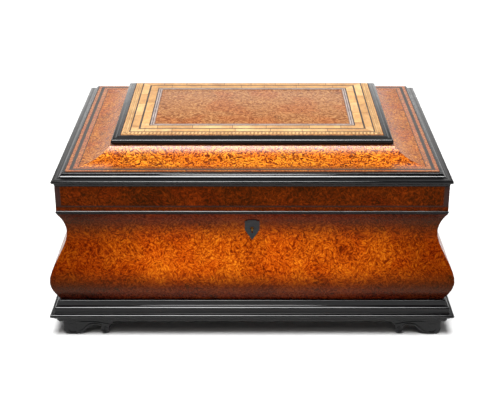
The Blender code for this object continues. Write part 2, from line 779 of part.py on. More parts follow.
def spiral_strip(name, inner_r, outer_r, turns, thickness, span, centre):
    """The mainspring: a flat strip wound from the arbor to the barrel wall."""
    steps = int(turns * 14)
    outside, inside = [], []
    for i in range(steps + 1):
        angle = 360 * turns * i / steps
        radius = inner_r + (outer_r - inner_r) * i / steps
        outside.append(polar(radius + thickness, angle))
        inside.append(polar(radius, angle))
    outline = outside + inside[::-1]
    return plate(name, [outline], width(span), (middle(span), *centre), "X", "blued")


def build_barrel():
    axis = (0, BARREL_Y, AXIS_Z)
    bore = 0.0050 + FIT
    wall_r, low, high = 0.0430, -0.2100, BARREL_X[0] - 0.0005
    shell = [
        (wall_r, high),
        (wall_r, low),
        (0.0090, low),
        (0.0090, low + 0.0030),
        (wall_r - 0.0035, low + 0.0030),
        (wall_r - 0.0035, high - 0.0040),
        (bore, high - 0.0040),
        (bore, high),
    ]
    barrel = turned("spring_barrel", shell, axis, "X", "brass", 36, closed=True)
    mesh_angle = line_angle((BARREL_Y, AXIS_Z), (CYLINDER_Y, AXIS_Z))
    rim = gear_outline(BARREL_TEETH, BARREL_MODULE, mesh_angle)
    span = (high - 0.0020, BARREL_X[1])
    centre = (middle(span), BARREL_Y, AXIS_Z)
    wheel = plate("barrel_teeth", [rim, circle(0, 0, bore, 24)], width(span), centre, "X", "brass")
    join(barrel, wheel)
    spring_x = (low + 0.0060, high - 0.0070)
    spiral_strip("mainspring", 0.0120, 0.0370, 5, 0.0012, spring_x, (BARREL_Y, AXIS_Z))

    rod("winding_arbor", 0.0050, -0.2800, -0.1145, axis, "X", "steel", 24)


def ratchet_outline():
    teeth = 24
    points = []
    for i in range(teeth):
        angle = 360 * i / teeth
        points += [polar(RATCHET_R, angle), polar(RATCHET_R - 0.0022, angle + 2.0)]
    return points


def pawl_outline(pivot, tip):
    """A tapered finger from a round pivot to a narrow tip."""
    return link_outline(pivot, 0.0045, tip, 0.0008, 6)


def build_winding():
    hub = (BARREL_Y, AXIS_Z)
    held = 0.0050 + 0.00030
    sides = 24
    plate(
        "ratchet_wheel",
        [ratchet_outline(), circle(0, 0, held, sides)],
        width(RATCHET_X),
        (middle(RATCHET_X), *hub),
        "X",
        "steel",
    )
    tip = polar(LEVER_LENGTH, LEVER_ANGLE)
    bar = link_outline((0.0, 0.0), 0.0130, tip, 0.0075)
    lever = plate(
        "winding_lever",
        [bar, circle(0, 0, 0.0050 + FIT, sides), circle(*tip, 0.0032, 16)],
        width(LEVER_X),
        (middle(LEVER_X), *hub),
        "X",
        "brass",
    )
    collar_end = RATCHET_X[0] - GAP
    bore = 0.0050 + FIT
    join(lever, sleeve("lever_collar", 0.0085, bore, LEVER_X[1] - 0.001, collar_end, (0, *hub), "X", "brass"))

    grip_at = (0, hub[0] + tip[0], hub[1] + tip[1])
    grip = [(0, -0.2670), (0.0030, -0.2670), (0.0030, -0.2763), (0.0062, -0.2766), (0.0066, -0.2800),
            (0.0048, -0.2840), (0.0052, -0.2890), (0.0075, -0.2970), (0.0082, -0.3040), (0.0070, -0.3100),
            (0.0040, -0.3130), (0, -0.3136)]
    turned("winding_handle", grip, grip_at, "X", "ebonised", 16)

    pivot = polar(0.0400, LEVER_ANGLE, hub)
    pawl_tip = polar(RATCHET_R + 0.0014, LEVER_ANGLE - 10, hub)
    thickness = width(RATCHET_X) - 0.001
    centre = (middle(RATCHET_X), 0, 0)
    pawl = plate("lever_pawl", [pawl_outline(pivot, pawl_tip)], thickness, centre, "X", "blued")
    stud = rod("pawl_stud", 0.0022, LEVER_X[1] + GAP, RATCHET_X[0] + 0.002, (0, *pivot), "X", "blued", 12)
    join(pawl, stud)

    click_pivot = polar(0.0420, -40, hub)
    click_tip = polar(RATCHET_R + 0.0014, -62, hub)
    click = plate("click", [pawl_outline(click_pivot, click_tip)], thickness, centre, "X", "blued")
    stud_x = (RATCHET_X[1] - 0.002, LEVER_WALL_X[0] - GAP)
    click_stud = rod("click_stud", 0.0025, *stud_x, (0, *click_pivot), "X", "blued", 12)
    join(click, click_stud)


def build_cylinder():
    axis = (0, CYLINDER_Y, AXIS_Z)
    low, high = CYLINDER_X
    bore = 0.0040 + FIT
    tube, disc = 0.0030, 0.0050
    drum = [
        (CYLINDER_R, high),
        (CYLINDER_R, low),
        (bore, low),
        (bore, low + disc),
        (CYLINDER_R - tube, low + disc),
        (CYLINDER_R - tube, high - disc),
        (0.0120, high - disc),
        (0.0120, high),
    ]
    turned("cylinder_sleeve", drum, axis, "X", "brass", 40, closed=True)

    arbor = rod("cylinder_arbor", 0.0040, -0.1370, 0.2170, axis, "X", "steel", 24)
    mesh_angle = line_angle((CYLINDER_Y, AXIS_Z), (BARREL_Y, AXIS_Z))
    teeth = gear_outline(BARREL_PINION_TEETH, BARREL_MODULE, mesh_angle + 180 / BARREL_PINION_TEETH)
    centre = (middle(BARREL_X), CYLINDER_Y, AXIS_Z)
    join(arbor, plate("cylinder_pinion", [teeth], width(BARREL_X), centre, "X", "steel"))

    to_first = line_angle((CYLINDER_Y, AXIS_Z), (FIRST_Y, FIRST_Z))
    rim = gear_outline(GREAT_TEETH, GREAT_MODULE, to_first)
    windows = window_outlines(5, 0.0110, 0.0345, 0.0065, 90)
    snail_at = (CYLINDER_Y, AXIS_Z + 0.0228)
    centre = (middle(GREAT_X), CYLINDER_Y, AXIS_Z)
    held = circle(0, 0, 0.0040 + 0.00030, 24)
    wheel = plate("great_wheel", [rim, held] + windows, width(GREAT_X), centre, "X", "brass")
    join(wheel, rod("snail_boss", 0.0035, 0.1990, GREAT_X[1], (0, *snail_at), "X", "brass", 16))
    join(wheel, rod("snail_stud", 0.0015, 0.1922, 0.2010, (0, *snail_at), "X", "brass", 16))

    steps = 8
    snail = []
    for i in range(steps):
        radius = 0.0088 - 0.0005 * i
        snail += arc(0, 0, radius, 360 * i / steps, 360 * (i + 1) / steps - 4, 3)
    hole = circle(0, 0, 0.0015 + FIT, 16)
    plate("tune_snail", [snail, hole], 0.0040, (0.1960, *snail_at), "X", "steel")


def build_governor():
    left, right = (0.1915, 0.1945), (0.2300, 0.2330)
    front, back = -0.0960, -0.0205
    base_top = BED_TOP + 0.0040
    top = 0.1750
    frame = box("governor_frame", (left[0], front, BED_TOP + GAP), (right[1], back, base_top), "brass")
    first, second = (FIRST_Y, FIRST_Z), (SECOND_Y, SECOND_Z)
    outline = [
        (front + 0.012, base_top - 0.001),
        (back - 0.002, base_top - 0.001),
        (back - 0.002, 0.1600),
        (back - 0.006, 0.1705),
        (FIRST_Y - 0.010, 0.1740),
        (FIRST_Y - 0.016, top),
        (front + 0.012, top),
    ]
    for name, span in (("left_cheek", left), ("right_cheek", right)):
        holes = [circle(y, z, 0.0010 + FIT, 12) for y, z in (first, second)]
        join(frame, plate(name, [outline] + holes, width(span), (middle(span), 0, 0), "X", "brass"))
    foot_at = (ENDLESS_X, ENDLESS_Y, 0)
    cut(frame, rod("foot_hole", 0.0010 + FIT, 0.1245, 0.1300, foot_at, "Z", "brass", 12))

    cock = box(
        "endless_cock",
        (left[0], ENDLESS_Y - 0.0070, top + GAP),
        (right[1], ENDLESS_Y + 0.0070, top + GAP + 0.0032),
        "brass",
        0.0006,
    )
    cut(cock, rod("cock_hole", 0.0013 + FIT, 0.1700, 0.1850, foot_at, "Z", "brass", 12))

    pinion_phase = 180 / FIRST_PINION_TEETH
    back_angle = line_angle(first, (CYLINDER_Y, AXIS_Z))
    pinion = gear_outline(FIRST_PINION_TEETH, GREAT_MODULE, back_angle + pinion_phase)
    on_angle = line_angle(first, second)
    wheel = gear_outline(FIRST_TEETH, FIRST_MODULE, on_angle)
    axis = (0, *first)
    step = [
        (0, 0.2320), (0.0010, 0.2320), (0.0010, 0.2296), (0.0018, 0.2294),
        (0.0018, 0.1951), (0.0010, 0.1949), (0.0010, 0.1925), (0, 0.1925),
    ]
    piece = turned("governor_wheel_1", step, axis, "X", "steel", 10)
    span = (GREAT_X[0] - 0.0008, GREAT_X[1] + 0.0008)
    join(piece, plate("first_pinion", [pinion], width(span), (middle(span), *first), "X", "steel"))
    join(piece, plate("first_wheel", [wheel], width(FIRST_X), (middle(FIRST_X), *first), "X", "brass"))

    back_angle = line_angle(second, first)
    pinion = gear_outline(SECOND_PINION_TEETH, FIRST_MODULE, back_angle + 180 / SECOND_PINION_TEETH)
    wheel = gear_outline(WORM_TEETH, WORM_MODULE, 180.0)
    axis = (0, *second)
    piece = turned("governor_wheel_2", step, axis, "X", "steel", 10)
    span = (FIRST_X[0] - 0.0008, FIRST_X[1] + 0.0008)
    join(piece, plate("second_pinion", [pinion], width(span), (middle(span), *second), "X", "steel"))
    join(piece, plate("second_wheel", [wheel], width(WORM_X), (middle(WORM_X), *second), "X", "brass"))

    build_endless()


def helix_thread(name, turns, lead, root_r, tip_r, root_width, tip_width, centre):
    """A right-handed thread as a lofted ridge; its root is buried in the shaft."""
    per_turn = 12
    count = int(turns * per_turn) + 1
    points, faces = [], []
    for i in range(count):
        angle = 2 * math.pi * i / per_turn
        z = lead * (i / per_turn - turns / 2)
        for radius, height in (
            (root_r, -root_width / 2),
            (tip_r, -tip_width / 2),
            (tip_r, tip_width / 2),
            (root_r, root_width / 2),
        ):
            points.append((radius * math.cos(angle), radius * math.sin(angle), z + height))
    for i in range(count - 1):
        for k in range(4):
            low, high = 4 * i, 4 * (i + 1)
            faces.append((low + k, low + (k + 1) % 4, high + (k + 1) % 4, high + k))
    faces.append((3, 2, 1, 0))
    last = 4 * (count - 1)
    faces.append((last, last + 1, last + 2, last + 3))
    return place(mesh_of(name, points, faces), name, "steel", centre)


def build_endless():
    lead = math.pi * WORM_MODULE
    axis = (ENDLESS_X, ENDLESS_Y, 0)
    core = WORM_PITCH_R - 0.9 * WORM_MODULE
    shaft = [
        (0, 0.2030), (0.0013, 0.2030), (0.0013, 0.1745), (0.0013, 0.1700), (core, 0.1660), (core, 0.1500),
        (0.0013, 0.1490), (0.0013, 0.1275), (0.0010, 0.1273), (0.0010, 0.1250), (0, 0.1250),
    ]
    screw = turned("endless_screw", shaft, axis, "Z", "steel", 12)
    turns = 4
    thread = helix_thread(
        "endless_thread",
        turns,
        lead,
        core - 0.0004,
        WORM_PITCH_R + 0.8 * WORM_MODULE,
        0.62 * lead,
        0.22 * lead,
        (ENDLESS_X, ENDLESS_Y, SECOND_Z + lead / 4),
    )
    join(screw, thread)

    low, high = 0.1850, 0.2010
    fan = sleeve("fan", 0.0030, 0.0013 + GAP, low, high, axis, "Z", "brass", 16)
    vanes = box(
        "fan_vanes",
        (ENDLESS_X - 0.0110, ENDLESS_Y - 0.0005, low + 0.001),
        (ENDLESS_X + 0.0110, ENDLESS_Y + 0.0005, high - 0.001),
        "brass",
    )
    join(fan, vanes)
    cut(fan, rod("fan_bore", 0.0013 + GAP, low - 0.01, high + 0.01, axis, "Z", "brass", 16))


def lever_stem(name, x, lean):
    """A control lever with its ball knob, leaning by an angle from upright about the rod."""
    pivot = (CONTROL_ROD_Y, CONTROL_ROD_Z)
    up = 90 + lean
    top = polar(0.0400, up, pivot)
    stem = link_outline(pivot, 0.0060, top, 0.0028, 8)
    hole = circle(*pivot, 0.0022 + FIT, 12)
    lever = plate(name, [stem, hole], 0.0034, (x, 0, 0), "X", "brass")
    ball = polar(0.0445, up, pivot)
    knob = [(0, 0.0052), (0.0024, 0.0047), (0.0044, 0.0030), (0.0052, 0.0), (0.0044, -0.0030),
            (0.0024, -0.0047), (0, -0.0052)]
    return join(lever, turned(f"{name}_knob", knob, (x, *ball), "X", "brass", 12))


def build_controls():
    start = lever_stem("start_lever", 0.2860, 12.0)
    axis = (0, CONTROL_ROD_Y, CONTROL_ROD_Z)
    bore = 0.0022 + FIT
    join(start, sleeve("stop_sleeve", 0.0042, bore, 0.2170, 0.2850, axis, "X", "brass", 12))
    pivot = (CONTROL_ROD_Y, CONTROL_ROD_Z)
    tip = (ENDLESS_Y + 0.0128, 0.1935)
    arm = plate(
        "stop_arm",
        [link_outline(pivot, 0.0055, tip, 0.0012, 6), circle(*pivot, bore, 12)],
        0.0030,
        (ENDLESS_X, 0, 0),
        "X",
        "brass",
    )
    join(start, arm)
    lever_stem("change_lever", 0.3060, 12.0)


build_case()
build_feet()
build_dividers()
build_lock()
build_hinges()
build_lid()
build_inner_lid()
build_bed()
build_comb()
build_barrel()
build_winding()
build_cylinder()
build_governor()
build_controls()
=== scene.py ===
"""Looks for the cylinder music box: veneers, marquetry, carved feet and small movement details.

Metres, +Z up, in the frame's own axes: the front faces -Y and the floor is z = 0.
Every piece keeps its place in its vertices, so object coordinates are the frame's coordinates at rest.
"""

import math
import random

import bmesh
import bpy
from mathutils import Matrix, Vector


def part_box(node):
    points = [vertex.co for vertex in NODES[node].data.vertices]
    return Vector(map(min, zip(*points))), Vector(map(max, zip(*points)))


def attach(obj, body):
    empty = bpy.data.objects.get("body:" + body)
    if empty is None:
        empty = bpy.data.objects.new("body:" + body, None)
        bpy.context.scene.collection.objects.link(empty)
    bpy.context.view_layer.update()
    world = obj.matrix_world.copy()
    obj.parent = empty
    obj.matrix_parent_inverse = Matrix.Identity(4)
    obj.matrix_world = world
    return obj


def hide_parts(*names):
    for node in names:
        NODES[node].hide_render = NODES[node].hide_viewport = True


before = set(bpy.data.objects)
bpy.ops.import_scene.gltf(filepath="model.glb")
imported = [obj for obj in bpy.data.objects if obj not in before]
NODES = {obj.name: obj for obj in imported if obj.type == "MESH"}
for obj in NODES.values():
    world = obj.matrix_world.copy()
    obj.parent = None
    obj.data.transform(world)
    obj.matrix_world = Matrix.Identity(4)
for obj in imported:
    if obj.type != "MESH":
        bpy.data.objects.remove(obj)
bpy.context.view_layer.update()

DRAW = random.Random(7)

# ---------------------------------------------------------------- sizes read from the frame

FRIEZE_LOW, FRIEZE_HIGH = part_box("lid_frieze")
HALF_X, HALF_Y = FRIEZE_HIGH.x, FRIEZE_HIGH.y          # half sizes of the case at the lid frieze
SLOPE_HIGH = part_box("lid_slope")[1]
PANEL_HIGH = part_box("top_panel")[1]
BED_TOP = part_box("bedplate")[1].z
SLEEVE_LOW, SLEEVE_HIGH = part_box("cylinder_sleeve")
AXIS_Y = (SLEEVE_LOW.y + SLEEVE_HIGH.y) / 2
AXIS_Z = (SLEEVE_LOW.z + SLEEVE_HIGH.z) / 2
DRUM_RADIUS = (SLEEVE_HIGH.z - SLEEVE_LOW.z) / 2
COMB_LOW, COMB_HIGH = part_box("comb")
COMB_TEETH = 64
FOOT_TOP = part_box("foot_front_left")[1].z

BORDER_Z = 0.3237                  # flat border of the lid, inside the black moulding
BORDER_IN = -0.0393                # inner edge of the border, as an offset from the frieze
SLOPE_HEAD = -0.0910               # top of the hollow slope, as an offset from the frieze
VENEER = 0.0004                    # how far laid veneer and inlay stand above the wood below

# ---------------------------------------------------------------- materials


def srgb(red, green, blue):
    """A colour given as screen levels from 0 to 255, as the linear values that a shader takes."""

    def linear(level):
        share = level / 255
        return share / 12.92 if share <= 0.04045 else ((share + 0.055) / 1.055) ** 2.4

    return (linear(red), linear(green), linear(blue), 1.0)


class Finish:
    """A material being built. Its methods add nodes and return the socket that carries the result."""

    def __init__(self, name, roughness=0.4, metallic=0.0, coat=0.0, coat_roughness=0.1, specular=0.5,
                 tint=None):
        self.material = bpy.data.materials.new(name)
        self.material.use_nodes = True
        self.tree = self.material.node_tree
        self.shader = self.tree.nodes["Principled BSDF"]
        self.set("Roughness", roughness)
        self.set("Metallic", metallic)
        self.set("Coat Weight", coat)
        self.set("Coat Roughness", coat_roughness)
        self.set("Specular IOR Level", specular)
        if tint:
            self.set("Specular Tint", tint)
        self.place = self.node("ShaderNodeTexCoord").outputs["Object"]

    def set(self, name, value):
        self.feed(self.shader.inputs[name], value)

    def feed(self, socket, value):
        if isinstance(value, bpy.types.NodeSocket):
            self.tree.links.new(value, socket)
        else:
            socket.default_value = value

    def node(self, kind, inputs=None, **settings):
        made = self.tree.nodes.new(kind)
        for key, value in settings.items():
            setattr(made, key, value)
        for socket, value in (inputs or {}).items():
            self.feed(made.inputs[socket], value)
        return made

    def maths(self, operation, *values, clamp=False):
        inputs = dict(enumerate(values))
        return self.node("ShaderNodeMath", inputs, operation=operation, use_clamp=clamp).outputs[0]

    def vector(self, operation, *values):
        return self.node("ShaderNodeVectorMath", dict(enumerate(values)), operation=operation).outputs[0]

    def axis(self, coords, name):
        return self.node("ShaderNodeSeparateXYZ", {0: coords}).outputs[name]

    def noise(self, coords, scale, detail=2.0, roughness=0.5):
        inputs = {"Vector": coords, "Scale": scale, "Detail": detail, "Roughness": roughness}
        return self.node("ShaderNodeTexNoise", inputs).outputs["Fac"]

    def warped(self, coords, scale, reach):
        """Coordinates pushed about by up to half of reach, in swirls of the given scale."""
        swirl = self.node("ShaderNodeTexNoise", {"Vector": coords, "Scale": scale, "Detail": 2.0})
        centred = self.vector("SUBTRACT", swirl.outputs["Color"], (0.5, 0.5, 0.5))
        return self.vector("MULTIPLY_ADD", centred, (reach, reach, reach), coords)

    def smooth_step(self, value, low, high, start=0.0, end=1.0):
        inputs = {"Value": value, "From Min": low, "From Max": high, "To Min": start, "To Max": end}
        return self.node("ShaderNodeMapRange", inputs, interpolation_type="SMOOTHSTEP").outputs[0]

    def ramp(self, factor, stops):
        made = self.node("ShaderNodeValToRGB", {"Fac": factor})
        elements = made.color_ramp.elements
        while len(elements) < len(stops):
            elements.new(0.5)
        for element, (position, colour) in zip(elements, stops):
            element.position = position
            element.color = colour
        return made.outputs["Color"]

    def mix(self, factor, first, second, blend="MIX"):
        """Two colours mixed. Sockets 6 and 7 of the node take colours, and its output 2 carries one."""
        inputs = {0: factor, 6: first, 7: second}
        return self.node("ShaderNodeMix", inputs, data_type="RGBA", blend_type=blend).outputs[2]

    def bump(self, height, distance):
        """Relief on the surface, distance metres deep where height goes from 0 to 1."""
        inputs = {"Height": height, "Distance": distance, "Strength": 1.0}
        self.set("Normal", self.node("ShaderNodeBump", inputs).outputs["Normal"])


AMBOYNA = {
    "dark": srgb(46, 10, 1),
    "low": srgb(112, 35, 2),
    "mid": srgb(164, 71, 6),
    "high": srgb(208, 120, 20),
    "pit": srgb(26, 7, 1),
}
LID_AMBOYNA = {
    "dark": srgb(66, 26, 4),
    "low": srgb(112, 53, 9),
    "mid": srgb(146, 80, 19),
    "high": srgb(174, 114, 42),
    "pit": srgb(46, 15, 3),
}
BRIGHT_AMBOYNA = {
    "dark": srgb(62, 20, 2),
    "low": srgb(124, 56, 6),
    "mid": srgb(176, 92, 14),
    "high": srgb(214, 132, 30),
    "pit": srgb(34, 10, 2),
}
FRIEZE_AMBOYNA = {
    "dark": srgb(26, 6, 1),
    "low": srgb(50, 13, 1),
    "mid": srgb(76, 23, 1),
    "high": srgb(106, 40, 4),
    "pit": srgb(16, 4, 1),
}
PALE_AMBOYNA = {
    "dark": srgb(94, 52, 26),
    "low": srgb(124, 76, 42),
    "mid": srgb(146, 97, 58),
    "high": srgb(166, 121, 76),
    "pit": srgb(78, 42, 22),
}
GOLDEN = (1.0, 0.42, 0.10, 1.0)    # the warm gloss of polished burl seen face on


def burl(name, palette, seed, metallic=0.15, specular=0.30, ends=None, shaded_hems=None, grain=1.0,
         figure=0.20, patches=0.30, tint=None, lined=None):
    """Amboyna burl under polish: swirled short grain, clusters of eyes and slow changes of tone.

    grain above 1 makes the figure finer, figure is the contrast of its strokes, and patches is the
    contrast of the slow changes. ends is two distances along X from the middle: where the darker end
    starts and where it is full; that end is painted shade where the light falls off, and darker polish.
    shaded_hems is four heights: where the low hem is full, where it ends, where the high hem starts and
    where it is full; both hems are painted shade, where less light reaches the wall. lined is the
    direction that the inner face looks in, which is plain stained wood.
    """
    made = Finish(name, metallic=metallic, specular=specular, tint=tint)
    start = made.vector("ADD", made.place, (seed * 0.731, seed * 0.417, seed * 0.293))
    loose = made.warped(start, 24.0 * grain, 0.034 / grain)
    tight = made.warped(loose, 80.0 * grain, 0.014 / grain)

    stroke_waves = 34.0
    swirl = made.noise(tight, 74.0 * grain, 1.0)
    strokes = made.maths("SINE", made.maths("MULTIPLY", swirl, stroke_waves))
    strokes = made.maths("MULTIPLY_ADD", strokes, 0.5, 0.5)
    fleck = made.noise(tight, 190.0 * grain, 3.0, 0.72)
    specks = made.smooth_step(made.noise(tight, 410.0 * grain, 1.0), 0.60, 0.70)
    tone = made.noise(start, 11.0 * grain, 2.0)
    blush = made.smooth_step(made.noise(loose, 15.0 * grain, 1.0), 0.46, 0.62)

    # About half of the cells hold an eye: a cluster of pits with rings of grain round it.
    cells = made.node("ShaderNodeTexVoronoi", {"Vector": loose, "Scale": 19.0 * grain})
    chosen = made.smooth_step(made.axis(cells.outputs["Color"], "X"), 0.50, 0.60)
    ring_waves = 78.0
    reach = cells.outputs["Distance"]
    inside = made.maths("MULTIPLY", made.smooth_step(reach, 0.24, 0.10), chosen)
    rings = made.maths("SINE", made.maths("MULTIPLY", reach, ring_waves))
    pits = made.smooth_step(made.noise(tight, 300.0 * grain, 1.0), 0.54, 0.44)
    pits = made.maths("MULTIPLY", pits, inside)
    pits = made.maths("MAXIMUM", pits, made.maths("MULTIPLY", specks, 0.6))

    level = made.maths("MULTIPLY_ADD", strokes, figure, made.maths("MULTIPLY", fleck, 0.85))
    level = made.maths("MULTIPLY_ADD", made.maths("SUBTRACT", tone, 0.5), patches, level)
    level = made.maths("MULTIPLY_ADD", made.maths("MULTIPLY", rings, inside), 0.17, level)
    level = made.maths("ADD", level, 0.105 - figure / 2)
    places = {"dark": 0.22, "low": 0.42, "mid": 0.58, "high": 0.80}
    colour = made.ramp(level, [(place, palette[tone_name]) for tone_name, place in places.items()])
    colour = made.mix(made.maths("MULTIPLY", blush, 0.7), colour, (0.96, 0.72, 0.60, 1), "MULTIPLY")
    colour = made.mix(made.maths("MULTIPLY", pits, 0.7), colour, palette["pit"])
    # Painted shade towards the ends, where the light falls off, together with darker polish there.
    if ends:
        across = made.maths("ABSOLUTE", made.axis(made.place, "X"))
        colour = made.mix(made.smooth_step(across, *ends), colour, (0.34, 0.24, 0.14, 1), "MULTIPLY")
    # Painted shade at the low and high hems, under the rim and on the lower tuck, where less light reaches.
    if shaded_hems:
        up = made.axis(made.place, "Z")
        lower = made.smooth_step(up, shaded_hems[0], shaded_hems[1], 1.0, 0.0)
        upper = made.smooth_step(up, shaded_hems[2], shaded_hems[3], 0.0, 1.0)
        edge = made.maths("MAXIMUM", lower, upper)
        colour = made.mix(edge, colour, (0.26, 0.15, 0.08, 1), "MULTIPLY")
    if lined:
        normal = made.node("ShaderNodeTexCoord").outputs["Normal"]
        facing = made.node("ShaderNodeVectorMath", {0: normal, 1: lined}, operation="DOT_PRODUCT")
        streaks = made.noise(made.vector("MULTIPLY", made.place, (0.06, 0.06, 1)), 240.0, 3.0)
        plain = made.ramp(streaks, [(0.3, srgb(50, 24, 14)), (0.75, srgb(92, 50, 28))])
        colour = made.mix(made.smooth_step(facing.outputs["Value"], 0.6, 0.8), colour, plain)
    made.set("Base Color", colour)
    made.set("Roughness", made.smooth_step(fleck, 0.3, 0.7, 0.22, 0.32))
    made.bump(made.maths("ADD", strokes, fleck), 0.00004)
    return made.material


def straight_wood(name, pale, dark, along, seed, roughness=0.38, coat=0.0):
    """Plain wood with its grain along one axis, in streaks, with fine pores."""
    made = Finish(name, roughness, coat=coat, coat_roughness=0.15, specular=0.15)
    stretch = {"X": (0.06, 1, 1), "Y": (1, 0.06, 1), "Z": (1, 1, 0.06)}[along]
    start = made.vector("ADD", made.place, (seed * 0.37, seed * 0.53, seed * 0.71))
    grain = made.vector("MULTIPLY", made.warped(start, 12.0, 0.006), stretch)
    streaks = made.noise(grain, 240.0, 3.0, 0.6)
    pores = made.noise(grain, 1500.0, 1.0)
    cloud = made.noise(start, 30.0, 2.0)
    level = made.maths("MULTIPLY_ADD", cloud, 0.45, made.maths("MULTIPLY", streaks, 0.65))
    level = made.maths("MULTIPLY_ADD", made.smooth_step(pores, 0.62, 0.7), -0.2, level)
    made.set("Base Color", made.ramp(level, [(0.30, dark), (0.75, pale)]))
    made.set("Roughness", made.smooth_step(streaks, 0.3, 0.7, roughness - 0.05, roughness + 0.08))
    made.bump(made.maths("ADD", streaks, pores), 0.00005)
    return made.material


def ebonised(name="ebonised"):
    """Black-stained fruitwood under polish, rubbed brown in places and slightly uneven."""
    made = Finish(name, 0.34, coat=0.50, coat_roughness=0.06, specular=0.02)
    uneven = made.noise(made.place, 38.0, 3.0)
    grain = made.noise(made.place, 420.0, 2.0, 0.6)
    rubbed = made.smooth_step(made.noise(made.place, 90.0, 4.0, 0.7), 0.62, 0.76)
    base = made.ramp(uneven, [(0.3, srgb(5, 5, 6)), (0.7, srgb(13, 12, 13))])
    made.set("Base Color", made.mix(made.maths("MULTIPLY", rubbed, 0.4), base, srgb(58, 40, 28)))
    made.set("Roughness", made.smooth_step(uneven, 0.3, 0.7, 0.24, 0.38))
    made.bump(made.maths("MULTIPLY_ADD", grain, 0.35, uneven), 0.00018)
    return made.material


def metal(name, bright, dull, roughness, brushed=None, tarnish=0.5, metallic=1.0):
    """Worked metal: brushed along one axis where it was turned or filed, and dulled in clouds."""
    made = Finish(name, roughness, metallic)
    stretch = {"X": (0.04, 1, 1), "Y": (1, 0.04, 1), "Z": (1, 1, 0.04), None: (1, 1, 1)}[brushed]
    lines = made.noise(made.vector("MULTIPLY", made.place, stretch), 1400.0, 2.0, 0.6)
    cloud = made.noise(made.place, 55.0, 4.0, 0.65)
    dulled = made.maths("MULTIPLY", made.smooth_step(cloud, 0.40, 0.68), tarnish)
    made.set("Base Color", made.mix(dulled, bright, dull))
    spread = made.maths("MULTIPLY_ADD", lines, 0.12, made.smooth_step(cloud, 0.3, 0.7, 0.0, 0.14))
    made.set("Roughness", made.maths("ADD", spread, roughness - 0.08, clamp=True))
    made.bump(lines, 0.00002)
    return made.material


def cast_iron(name):
    """Bronze-painted cast bedplate with a sandy surface."""
    made = Finish(name, 0.5, 0.75)
    sand = made.noise(made.place, 900.0, 3.0, 0.7)
    cloud = made.noise(made.place, 26.0, 4.0, 0.6)
    made.set("Base Color", made.ramp(cloud, [(0.3, srgb(112, 88, 46)), (0.7, srgb(176, 146, 84))]))
    made.set("Roughness", made.smooth_step(sand, 0.3, 0.7, 0.42, 0.62))
    made.bump(sand, 0.00018)
    return made.material


def window_glass(name):
    """Old flat glass: clear, faintly green and very slightly wavy."""
    made = Finish(name, 0.02)
    made.set("Transmission Weight", 1.0)
    made.set("IOR", 1.46)
    cloud = made.noise(made.place, 14.0, 2.0)
    made.set("Base Color", made.ramp(cloud, [(0.3, (0.93, 0.97, 0.95, 1)), (0.7, (0.97, 1.0, 0.98, 1))]))
    made.bump(cloud, 0.0004)
    return made.material


def studio_floor(name):
    made = Finish(name, 0.65, specular=0.2)
    mottle = made.noise(made.place, 3.0, 3.0)
    pale, paler = (0.58, 0.58, 0.58, 1), (0.60, 0.60, 0.60, 1)
    made.set("Base Color", made.ramp(mottle, [(0.3, pale), (0.7, paler)]))
    return made.material


def inlay(name, pale, dark, seed):
    """Thin sheet of plain veneer: short streaks, slight mottle and a satin polish."""
    made = Finish(name, 0.42, coat=0.05, coat_roughness=0.2, specular=0.25, tint=GOLDEN)
    start = made.vector("ADD", made.place, (seed * 0.37, seed * 0.53, seed * 0.71))
    drawn_out = made.vector("MULTIPLY", made.warped(start, 30.0, 0.01), (1.0, 0.3, 1.0))
    flame = made.noise(drawn_out, 210.0, 3.0, 0.65)
    mottle = made.noise(start, 34.0, 2.0)
    level = made.maths("MULTIPLY_ADD", mottle, 0.5, made.maths("MULTIPLY", flame, 0.5))
    made.set("Base Color", made.ramp(level, [(0.36, dark), (0.62, pale)]))
    made.set("Roughness", made.smooth_step(flame, 0.3, 0.7, 0.36, 0.50))
    made.bump(flame, 0.00003)
    return made.material


EBONY = ebonised()
CARVED = ebonised("carved_ebonised")
CARCASE = straight_wood("carcase_pine", srgb(176, 128, 80), srgb(116, 74, 42), "X", 3, 0.6, 0.0)
LINING = straight_wood("stained_lining", srgb(112, 62, 34), srgb(62, 30, 18), "X", 5, 0.5, 0.1)
BRASS = metal("brass", srgb(226, 178, 96), srgb(150, 108, 58), 0.30)
TURNED_BRASS = metal("turned_brass", srgb(230, 184, 102), srgb(168, 124, 66), 0.28, "X", 0.35)
STEEL = metal("steel", srgb(205, 206, 210), srgb(126, 124, 122), 0.28)
COMB_STEEL = metal("comb_steel", srgb(186, 188, 194), srgb(150, 149, 150), 0.46, "Y", 0.15)
BLUED = metal("blued_steel", srgb(46, 56, 86), srgb(36, 34, 44), 0.30)
ESCUTCHEON_IRON = metal("escutcheon_iron", srgb(22, 27, 31), srgb(12, 15, 18), 0.46, None, 0.5, 0.3)
BED_IRON = cast_iron("gilt_iron")
GLASS = window_glass("window_glass")

# ---------------------------------------------------------------- mesh helpers


